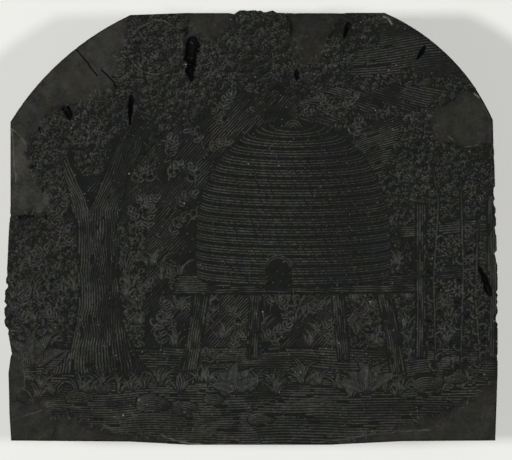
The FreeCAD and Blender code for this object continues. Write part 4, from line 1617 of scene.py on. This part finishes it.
def block_mesh():
    """The block: its face, its walls with the marks of tools and wear, its foot and its bored hole."""
    base = resampled(foot_outline("boxwood_block"), RIM_STEP)
    normal = inward_normals(base, NORMAL_BLEND)
    x, y = base[:, 0], base[:, 1]
    row, column, _ = face.cell(base + normal)
    pared = eased((np.abs(x) / LENGTH + y / WIDTH - PARED_FROM_SHARE) / PARED_BLEND_SHARE)
    reach = BITE_REACH * (1 - eased(BITE_BARE * face.bare[row, column]))
    reach = reach * eased((y - BITES_END) / BITE_FADE) * (1 - pared)
    thrice = np.concatenate([reach, reach, reach])
    reach = np.convolve(thrice, np.ones(REACH_BLUR) / REACH_BLUR, "same")[len(reach) : 2 * len(reach)]
    swing, small_swing = BITE_SWINGS
    bite = BITE_EVEN + swing * uneven("bites", x, y) + small_swing * uneven("small_bites", x, y)
    bite = np.clip(bite, 0, 1)
    nibbled = base + normal * (reach * bite)[:, None]
    hole = plug_circle(PLUG_RADIUS + SEAM_HALF)
    cells = without_pinches(face.filled(nibbled, *cell_middles()) & ~face.filled(hole, *cell_middles()))
    skin = Skin()
    outer, bore = cap(skin, cells, (nibbled, hole), EDGE_WEAR, BLOCK_SHEET)
    rim, top, place = outer
    spot, way = along_ring(base, place), along_ring(normal, place)
    bent = np.roll(normal, -CORNER_SPAN, axis=0) - np.roll(normal, CORNER_SPAN, axis=0)
    corner = along_ring(eased(np.hypot(*bent.T) / CORNER_TURN - CORNER_LEAST), place)
    recess, bitten = along_ring(reach, place), along_ring(reach * bite, place)
    stretch, drift = MARK_STRETCH
    rings, facts = [], []
    for share in eased(np.linspace(0, 1, WALL_RINGS + 1)[1:]):
        level = top[:, 2] + (FOOT_LEVEL - top[:, 2]) * share
        down = eased((top[:, 2] - level) / RECESS_HEIGHT)
        marks = uneven("tool_marks", spot[:, 0] * stretch, spot[:, 1] * stretch + level * drift)
        marks = TOOL_MARK * (1 + marks) / 2
        dents = DENT * np.clip(uneven("dents", spot[:, 0] + level, spot[:, 1] - level) - DENT_FROM, 0, 1)
        foot = FOOT_ROUNDING
        if share < 1:
            foot = FOOT_ROUNDING * eased(1 - (level - FOOT_LEVEL) / FOOT_ROUNDING_HEIGHT)
        inset = bitten + (recess - bitten) * down + (marks + dents) * down + foot
        flat = spot + way * inset[:, None]
        rings.append(np.column_stack([flat, level]))
        near_foot = eased(1 - (level - FOOT_LEVEL) / FOOT_WEAR_HEIGHT)
        near_foot = near_foot * np.clip(uneven("foot_wear", flat[:, 0], flat[:, 1]), 0, 1)
        handled = np.clip(HANDLED_EVEN + uneven("handling", flat[:, 0] + flat[:, 1], level), 0, 1)
        wear_and_highlight = (CORNER_WEAR * corner * handled + FOOT_WEAR * near_foot) * eased(share * RUBBED_STARTS)
        facts.append(wall_facts(flat, min(1.0, float(share) * SIDE_STARTS), wear_and_highlight))
    wall_corner = (MARGIN, WIDTH + 3 * MARGIN)
    last = skin.wall(rim, top, rings, facts, BLOCK_SHEET, wall_corner, rows=2)
    foot_corner = (LENGTH + 3 * MARGIN, MARGIN)
    skin.lid(last[::-1], rings[-1][::-1], BLOCK_SHEET, foot_corner, FOOT_MAP_SCALE)
    rim, top, _ = (part[::-1] for part in bore)
    rings, facts = plug_rings(top, (PLUG_TIP_RADIUS, PLUG_DEPTH + PLUG_END_GAP))
    below_walls = WIDTH + 3 * MARGIN + 2 * (FACE_LEVEL + MARGIN)
    last = skin.wall(rim, top, rings, facts, BLOCK_SHEET, (MARGIN, below_walls))
    skin.lid(last[::-1], rings[-1][::-1], BLOCK_SHEET, (LENGTH / 2, below_walls))
    return skin.mesh("boxwood_block_engraved")


def plug_mesh():
    """The plug, whose top carries its share of the picture."""
    ring = plug_circle(PLUG_RADIUS - SEAM_HALF)
    cells = without_pinches(face.filled(ring, *cell_middles()))
    skin = Skin()
    rim, top, _ = cap(skin, cells, (ring,), SEAM_WEAR, PLUG_SHEET)[0]
    rings, facts = plug_rings(top, (PLUG_TIP_RADIUS - PLUG_TIP_CHAMFER, PLUG_DEPTH), LEVEL_TOLERANCE)
    beside = 2 * PLUG_RADIUS + 3 * MARGIN
    last = skin.wall(rim, top, rings, facts, PLUG_SHEET, (MARGIN, beside))
    skin.lid(last[::-1], rings[-1][::-1], PLUG_SHEET, (beside, MARGIN))
    return skin.mesh("repair_plug_engraved")


# Pasted sheets: how far their edges wander, how far the corner is torn, and a seed
CARD_EDGE = (0.12, 0.0, 180)
PAPER_EDGE = (0.15, 0.7, 190)
SHEET_STEP = 0.25
SHEET_WANDER_SIZE = 4.0
SHEET_FIBRE_SIZE = 0.7
TEAR_FROM_SHARE = -0.66
TEAR_BLEND_SHARE = 0.04
SHEET_INSETS = (0.08, 0.0, 0.03, 0.12)


def sheet_mesh(name, node, wander, tear, seed):
    """A pasted sheet with the edge of a knife cut, and a fibrous edge where it is torn."""
    low, high = node_box(node)
    ring = resampled(foot_outline(node), SHEET_STEP)
    normal = inward_normals(ring, 2)
    x, y = ring[:, 0], ring[:, 1]
    torn = tear * eased((TEAR_FROM_SHARE - x / LENGTH - y / WIDTH) / TEAR_BLEND_SHARE)
    inset = wander * (1 + noise(x, y, SHEET_WANDER_SIZE, seed)) / 2
    inset = inset + torn * (1 + noise(x, y, SHEET_FIBRE_SIZE, seed + 1)) / 2
    skin = Skin()
    rings = []
    for level, extra in zip((high[2], high[2], low[2], low[2]), SHEET_INSETS):
        flat = ring + normal * (inset + extra)[:, None]
        rings.append(np.column_stack([flat, np.full(len(flat), level)]))
    facts = [wall_facts(ring, 0.0) for ring in rings]
    corner = (MARGIN, MARGIN)
    top = skin.add(rings[0], facts[0])
    last = skin.wall(top, rings[0], rings[1:], facts[1:], BLOCK_SHEET, corner)
    skin.lid(top, rings[0], BLOCK_SHEET, corner)
    skin.lid(last[::-1], rings[-1][::-1], BLOCK_SHEET, corner)
    return skin.mesh(name, bake_map=False)


def make_piece(name, mesh, material, slot_name, *nodes):
    """Puts a mesh in the scene as a piece that stands for CAD nodes."""
    mesh.materials.append(material)
    piece = bpy.data.objects.new(name, mesh)
    bpy.context.scene.collection.objects.link(piece)
    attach(piece, "root")
    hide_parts(*nodes)
    return piece


# Where a mix of colours takes them in and gives them out
COLOUR_INPUTS = (6, 7)
COLOUR_OUTPUT = 2


class Shade:
    """A material in the making, whose patterns lie in the object's own space, in metres."""

    def __init__(self, name):
        self.material = bpy.data.materials.new(name)
        self.material.use_nodes = True
        self.tree = self.material.node_tree
        self.shader = self.tree.nodes["Principled BSDF"]
        self.space = self.tree.nodes.new("ShaderNodeTexCoord").outputs["Object"]

    def link(self, source, target):
        """Leads one socket to another."""
        self.tree.links.new(source, target)

    def fact(self, name):
        """A fact that the mesh holds at each point."""
        node = self.tree.nodes.new("ShaderNodeAttribute")
        node.attribute_name = name
        return node.outputs["Fac"]

    def grain(self, size, detail=3.0, stretch=(1, 1, 1), roughness=0.55):
        """A noise with patches of this size in millimetres, drawn out along an axis if wanted."""
        mapping = self.tree.nodes.new("ShaderNodeMapping")
        mapping.inputs["Scale"].default_value = stretch
        self.link(self.space, mapping.inputs["Vector"])
        node = self.tree.nodes.new("ShaderNodeTexNoise")
        node.inputs["Scale"].default_value = 1 / (size * MM)
        node.inputs["Detail"].default_value = detail
        node.inputs["Roughness"].default_value = roughness
        self.link(mapping.outputs["Vector"], node.inputs["Vector"])
        return node.outputs["Fac"]

    def patches(self, size, span=(0.3, 0.7), shares=(0.0, 1.0), **grain):
        """Patches of this size, where a noise passes through a span of its values."""
        return self.ranged(self.grain(size, **grain), *span, *shares)

    def ranged(self, source, low, high, least=0.0, most=1.0):
        """Maps low to least and high to most, and no further."""
        node = self.tree.nodes.new("ShaderNodeMapRange")
        for name, value in (("From Min", low), ("From Max", high), ("To Min", least), ("To Max", most)):
            node.inputs[name].default_value = value
        self.link(source, node.inputs["Value"])
        return node.outputs["Result"]

    def maths(self, operation, first, second):
        """The result of one sum with numbers or sockets."""
        node = self.tree.nodes.new("ShaderNodeMath")
        node.operation = operation
        for socket, value in zip(node.inputs, (first, second)):
            if isinstance(value, (int, float)):
                socket.default_value = value
            else:
                self.link(value, socket)
        return node.outputs[0]

    def mixed(self, share, first, second):
        """One colour passing into another."""
        node = self.tree.nodes.new("ShaderNodeMix")
        node.data_type = "RGBA"
        self.link(share, node.inputs["Factor"])
        for socket, value in zip(COLOUR_INPUTS, (first, second)):
            if isinstance(value, tuple):
                node.inputs[socket].default_value = (*value, 1.0)
            else:
                self.link(value, node.inputs[socket])
        return node.outputs[COLOUR_OUTPUT]

    def tinted(self, colour, size, first, second):
        """A colour that patches of two tints of this size pass over."""
        node = self.tree.nodes.new("ShaderNodeMix")
        node.data_type = "RGBA"
        node.blend_type = "MULTIPLY"
        node.inputs["Factor"].default_value = 1.0
        below, above = COLOUR_INPUTS
        self.link(colour, node.inputs[below])
        tints = self.mixed(self.patches(size, TINT_SPAN, detail=2.0), first, second)
        self.link(tints, node.inputs[above])
        return node.outputs[COLOUR_OUTPUT]

    def surface(self, colour, roughness, gloss):
        """Gives the material its colour, patches of roughness and its gloss."""
        self.link(colour, self.shader.inputs["Base Color"])
        self.link(self.patches(**roughness), self.shader.inputs["Roughness"])
        self.shader.inputs["Specular IOR Level"].default_value = gloss

    def bumped(self, height, distance, strength=0.6):
        """Raises the surface a little where the height is great, by a distance in millimetres."""
        node = self.tree.nodes.new("ShaderNodeBump")
        node.inputs["Distance"].default_value = distance * MM
        node.inputs["Strength"].default_value = strength
        self.link(height, node.inputs["Height"])
        self.link(node.outputs["Normal"], self.shader.inputs["Normal"])


# Colours are linear, as they come off the surface in plain light.
INK = (0.0036, 0.0043, 0.0043)
INK_GREEN = (0.0037, 0.005, 0.0041)
INK_WARM = (0.0112, 0.0112, 0.01)
# Ink-black for deep cuts: ink with painted shade
DEEP_INK_AND_SHADE = (0.0033, 0.0037, 0.0036)
RESIDUE = (0.0345, 0.0336, 0.0298)
RESIDUE_GREEN = (0.03, 0.0335, 0.0278)
RESIDUE_PALE = (0.074, 0.0715, 0.0625)
SCRAPED = (0.0325, 0.032, 0.0283)
SCRAPED_DARK = (0.0112, 0.0112, 0.0101)
SCRAPED_WARM = (0.0262, 0.0238, 0.0178)
TINT_SPAN = (0.42, 0.58)
REDDER = (1.036, 0.995, 1.0)
GREENER = (0.94, 1.005, 1.0)
BLUER = (1.0, 1.0, 1.066)
YELLOWER = (1.0, 1.0, 0.92)
# Pale worn wood, also used as the colour of painted highlights, sheen and glints
PALE_WEAR_AND_HIGHLIGHT = (0.34, 0.33, 0.29)
SIDE_RUBBED = (0.21, 0.15, 0.085)
SIDE_INKED = (0.014, 0.0135, 0.012)
SIDE_WOOD = (0.08, 0.053, 0.029)
SIDE_WOOD_DARK = (0.036, 0.024, 0.0145)
INK_GLOSS = 0.045


# Patterns of the inked wood
INK_BLOTCHES = {"size": 1.0, "span": (0.35, 0.7), "detail": 6.0, "roughness": 0.8}
FINE_RESIDUE = {"size": 0.6, "span": (0.35, 0.68), "roughness": 0.7}
GREEN_PATCHES = {"size": 7.0, "span": (0.42, 0.58)}
FILLED_CUTS = {"size": 3.0, "shares": (0.55, 1.0)}
FINE_MOTTLE = {"size": 0.9, "span": (0.4, 0.6), "shares": (0.0, 0.55), "detail": 6.0, "roughness": 0.85}
WIDE_MOTTLE = {"size": 2.2, "span": (0.4, 0.6), "shares": (0.0, 0.45), "detail": 2.0}
WARM_PATCHES = {"size": 5.0, "span": (0.45, 0.7), "shares": (0.0, 0.7)}
INK_CREEP = {"size": 5.0, "shares": (-0.35, 0.35), "detail": 4.0, "stretch": (1, 1, 0.3)}
SIDE_LINES = {"size": 0.45, "span": (0.35, 0.65), "stretch": (1, 1, 0.06)}
INK_ROUGHNESS = {"size": 2.0, "shares": (0.42, 0.66)}
INK_BUMPS = {"size": 0.22, "stretch": (1, 1, 0.15)}
INK_BUMP = (0.03, 0.5)
INKED_DOWN = (11, 1)
INKED_SPAN = (0.1, 0.8)
RED_SIZE = 4.0
BLUE_SIZE = 3.4


def inked_wood(name):
    """Old printer's ink on boxwood: black lands, grey residue in the cuts, brown scraped ground."""
    shade = Shade(name)
    blotches = shade.patches(**INK_BLOTCHES)
    fine = shade.patches(**FINE_RESIDUE)
    green = shade.patches(**GREEN_PATCHES)
    ink = shade.mixed(blotches, shade.mixed(green, INK, INK_GREEN), INK_WARM)
    residue = shade.mixed(fine, shade.mixed(green, RESIDUE, RESIDUE_GREEN), RESIDUE_PALE)
    filled = shade.maths("MULTIPLY", shade.fact("groove"), shade.patches(**FILLED_CUTS))
    colour = shade.mixed(filled, ink, residue)
    mottled = shade.patches(**FINE_MOTTLE)
    mottled = shade.maths("ADD", mottled, shade.patches(**WIDE_MOTTLE))
    scraped = shade.mixed(mottled, SCRAPED_DARK, SCRAPED)
    scraped = shade.mixed(shade.patches(**WARM_PATCHES), scraped, SCRAPED_WARM)
    colour = shade.mixed(shade.fact("bare"), colour, scraped)
    colour = shade.tinted(colour, RED_SIZE, REDDER, GREENER)
    colour = shade.tinted(colour, BLUE_SIZE, BLUER, YELLOWER)
    # Deep cuts turn ink-black: ink with painted shade in the recess
    colour = shade.mixed(shade.fact("deep"), colour, DEEP_INK_AND_SHADE)
    height = shade.tree.nodes.new("ShaderNodeSeparateXYZ")
    shade.link(shade.space, height.inputs["Vector"])
    low, high = ((FACE_LEVEL - below) * MM for below in INKED_DOWN)
    creep = shade.ranged(height.outputs["Z"], low, high)
    creep = shade.maths("ADD", creep, shade.patches(**INK_CREEP))
    wood = shade.mixed(shade.patches(**SIDE_LINES), SIDE_WOOD_DARK, SIDE_WOOD)
    side = shade.mixed(shade.ranged(creep, *INKED_SPAN), wood, SIDE_INKED)
    colour = shade.mixed(shade.fact("side"), colour, side)
    # Pale wear, with painted highlights, sheen and glints, laid over everything
    colour = shade.mixed(shade.fact("wear_and_highlight"), colour, shade.mixed(shade.fact("side"), PALE_WEAR_AND_HIGHLIGHT, SIDE_RUBBED))
    shade.surface(colour, INK_ROUGHNESS, INK_GLOSS)
    shade.bumped(shade.grain(**INK_BUMPS), *INK_BUMP)
    return shade.material


CARD_PALE = (0.46, 0.39, 0.29)
CARD_DARK = (0.3, 0.25, 0.18)
CARD_FLECK = (0.12, 0.09, 0.06)
CARD_MOTTLE = {"size": 6.0, "detail": 5.0}
CARD_FLECKS = {"size": 0.35, "span": (0.66, 0.74), "detail": 2.0, "stretch": (1, 0.4, 1)}
CARD_ROUGHNESS = {"size": 1.0, "shares": (0.8, 0.95)}
CARD_BUMPS = {"size": 0.3, "detail": 4.0}
CARD_BUMP = 0.06
PASTED_GLOSS = 0.3


def pressed_card(name):
    """Grey-brown millboard, mottled and flecked with fibres."""
    shade = Shade(name)
    colour = shade.mixed(shade.patches(**CARD_MOTTLE), CARD_DARK, CARD_PALE)
    colour = shade.mixed(shade.patches(**CARD_FLECKS), colour, CARD_FLECK)
    shade.surface(colour, CARD_ROUGHNESS, PASTED_GLOSS)
    shade.bumped(shade.grain(**CARD_BUMPS), CARD_BUMP)
    return shade.material


PAPER_PALE = (0.66, 0.58, 0.43)
PAPER_DARK = (0.5, 0.41, 0.27)
PAPER_STAIN = (0.26, 0.17, 0.08)
PAPER_MOTTLE = {"size": 14.0, "span": (0.35, 0.65), "detail": 5.0}
PAPER_FOXING = {"size": 7.0, "span": (0.58, 0.75), "shares": (0.0, 0.75), "detail": 5.0}
PAPER_ROUGHNESS = {"size": 1.0, "shares": (0.75, 0.92)}
PAPER_BUMPS = {"size": 0.4, "detail": 4.0}
PAPER_BUMP = 0.04
WIRE_PITCH = 1.1
WIRE_DISTORTION = 0.6
WIRE_SHADE = 0.16


def laid_paper(name):
    """Old laid paper with its close wire lines, foxed and stained."""
    shade = Shade(name)
    colour = shade.mixed(shade.patches(**PAPER_MOTTLE), PAPER_PALE, PAPER_DARK)
    wires = shade.tree.nodes.new("ShaderNodeTexWave")
    wires.bands_direction = "Y"
    wires.inputs["Scale"].default_value = 0.5 / (WIRE_PITCH * MM)
    wires.inputs["Distortion"].default_value = WIRE_DISTORTION
    shade.link(shade.space, wires.inputs["Vector"])
    lines = shade.ranged(wires.outputs["Fac"], 0.0, 1.0, 0.0, WIRE_SHADE)
    colour = shade.mixed(lines, colour, PAPER_DARK)
    colour = shade.mixed(shade.patches(**PAPER_FOXING), colour, PAPER_STAIN)
    shade.surface(colour, PAPER_ROUGHNESS, PASTED_GLOSS)
    shade.bumped(shade.maths("ADD", wires.outputs["Fac"], shade.grain(**PAPER_BUMPS)), PAPER_BUMP)
    return shade.material


# The studio
FLOOR_HALF = 1.6
FLOOR_COLOUR = (0.86, 0.862, 0.836)
FLOOR_ROUGHNESS = 0.9
WORLD_LIGHT = 0.1
BACKDROP_COLOUR = (0.86, 0.858, 0.84)
LEFT_LAMP = {"name": "left_lamp", "place": (-0.75, 0.0, 1.2), "size": 0.14, "power": 7.7}
RIGHT_LAMP = {"name": "right_lamp", "place": (0.7, 0.0, 1.25), "size": 0.14, "power": 4.9}
TOP_LAMP = {"name": "top_lamp", "place": (0.0, 0.0, 1.6), "size": 0.06, "power": 9.1}
CAMERA_HEIGHT = 1.0
SENSOR = 36.0
FRAME_PIXELS = 512
LENGTH_PIXELS = 493.4
FRAME_MIDDLE = (256, 230)
ORIGIN_PIXEL = (251, 227.5)


def make_floor():
    """A plain pale floor."""
    mesh = bpy.data.meshes.new("floor")
    corners = [(x * FLOOR_HALF, y * FLOOR_HALF, 0.0) for x, y in ((-1, -1), (1, -1), (1, 1), (-1, 1))]
    mesh.from_pydata(corners, [], [(0, 1, 2, 3)])
    floor = bpy.data.objects.new("floor", mesh)
    bpy.context.scene.collection.objects.link(floor)
    shade = Shade("pale_floor")
    shade.shader.inputs["Base Color"].default_value = (*FLOOR_COLOUR, 1.0)
    shade.shader.inputs["Roughness"].default_value = FLOOR_ROUGHNESS
    shade.shader.inputs["Specular IOR Level"].default_value = 0.0
    mesh.materials.append(shade.material)


def make_world():
    """Pale light from all round. What the camera, gloss and glass see of it is the backdrop."""
    world = bpy.data.worlds.new("studio")
    world.use_nodes = True
    nodes, links = world.node_tree.nodes, world.node_tree.links
    nodes.clear()
    lit, seen = nodes.new("ShaderNodeBackground"), nodes.new("ShaderNodeBackground")
    lit.inputs["Color"].default_value = (1.0, 1.0, 1.0, 1.0)
    lit.inputs["Strength"].default_value = WORLD_LIGHT
    seen.inputs["Color"].default_value = (*BACKDROP_COLOUR, 1.0)
    path = nodes.new("ShaderNodeLightPath")
    either = path.outputs["Is Camera Ray"]
    for kind in ("Is Glossy Ray", "Is Transmission Ray"):
        node = nodes.new("ShaderNodeMath")
        node.operation = "MAXIMUM"
        links.new(either, node.inputs[0])
        links.new(path.outputs[kind], node.inputs[1])
        either = node.outputs[0]
    mix, out = nodes.new("ShaderNodeMixShader"), nodes.new("ShaderNodeOutputWorld")
    links.new(either, mix.inputs[0])
    links.new(lit.outputs[0], mix.inputs[1])
    links.new(seen.outputs[0], mix.inputs[2])
    links.new(mix.outputs[0], out.inputs["Surface"])
    bpy.context.scene.world = world


def aimed(thing, place):
    """Puts a lamp or camera at a place, turned to the middle of the block."""
    thing.location = place
    thing.rotation_euler = (-thing.location).to_track_quat("-Z", "Y").to_euler()
    bpy.context.scene.collection.objects.link(thing)


def make_lamp(name, place, size, power, glossy=True):
    """One soft lamp, which may be kept out of the gloss."""
    data = bpy.data.lights.new(name, "AREA")
    data.shape = "DISK"
    data.size = size
    data.energy = power
    lamp = bpy.data.objects.new(name, data)
    lamp.visible_glossy = glossy
    aimed(lamp, place)


def make_camera():
    """Straight above the block, framed as in the photograph."""
    pixel = LENGTH / LENGTH_PIXELS
    data = bpy.data.cameras.new("camera")
    data.sensor_width = SENSOR
    data.lens = SENSOR * (CAMERA_HEIGHT - FACE_LEVEL * MM) / (FRAME_PIXELS * pixel * MM)
    camera = bpy.data.objects.new("camera", data)
    right = (FRAME_MIDDLE[0] - ORIGIN_PIXEL[0]) * pixel * MM
    up = (ORIGIN_PIXEL[1] - FRAME_MIDDLE[1]) * pixel * MM
    camera.location = (right, up, CAMERA_HEIGHT)
    bpy.context.scene.collection.objects.link(camera)
    bpy.context.scene.camera = camera


make_camera()
make_lamp(**LEFT_LAMP)
make_lamp(**RIGHT_LAMP)
make_lamp(**TOP_LAMP, glossy=False)
make_world()
make_floor()
clear_ground()
face.claim(face.bare > FADED_OUT, 0)
face.cut[:] = 0
cut_foreground()
cut_middle_ground()
cut_background()
clear_ground()
nick_edges()
scoop_out()
split()
pit_and_fray()
mark_wear_and_highlights()
ink = inked_wood("inked_boxwood")
make_piece("boxwood_block_engraved", block_mesh(), ink, "inked_boxwood", "boxwood_block")
make_piece("repair_plug_engraved", plug_mesh(), ink, "plug_boxwood", "repair_plug")
card = sheet_mesh("card_underlay_cut", "card_underlay", *CARD_EDGE)
make_piece("card_underlay_cut", card, pressed_card("grey_card"), "grey_card", "card_underlay")
paper = sheet_mesh("paper_underlay_torn", "paper_underlay", *PAPER_EDGE)
make_piece("paper_underlay_torn", paper, laid_paper("laid_paper"), "laid_paper", "paper_underlay")

bpy.context.scene.view_settings.view_transform = "Standard"
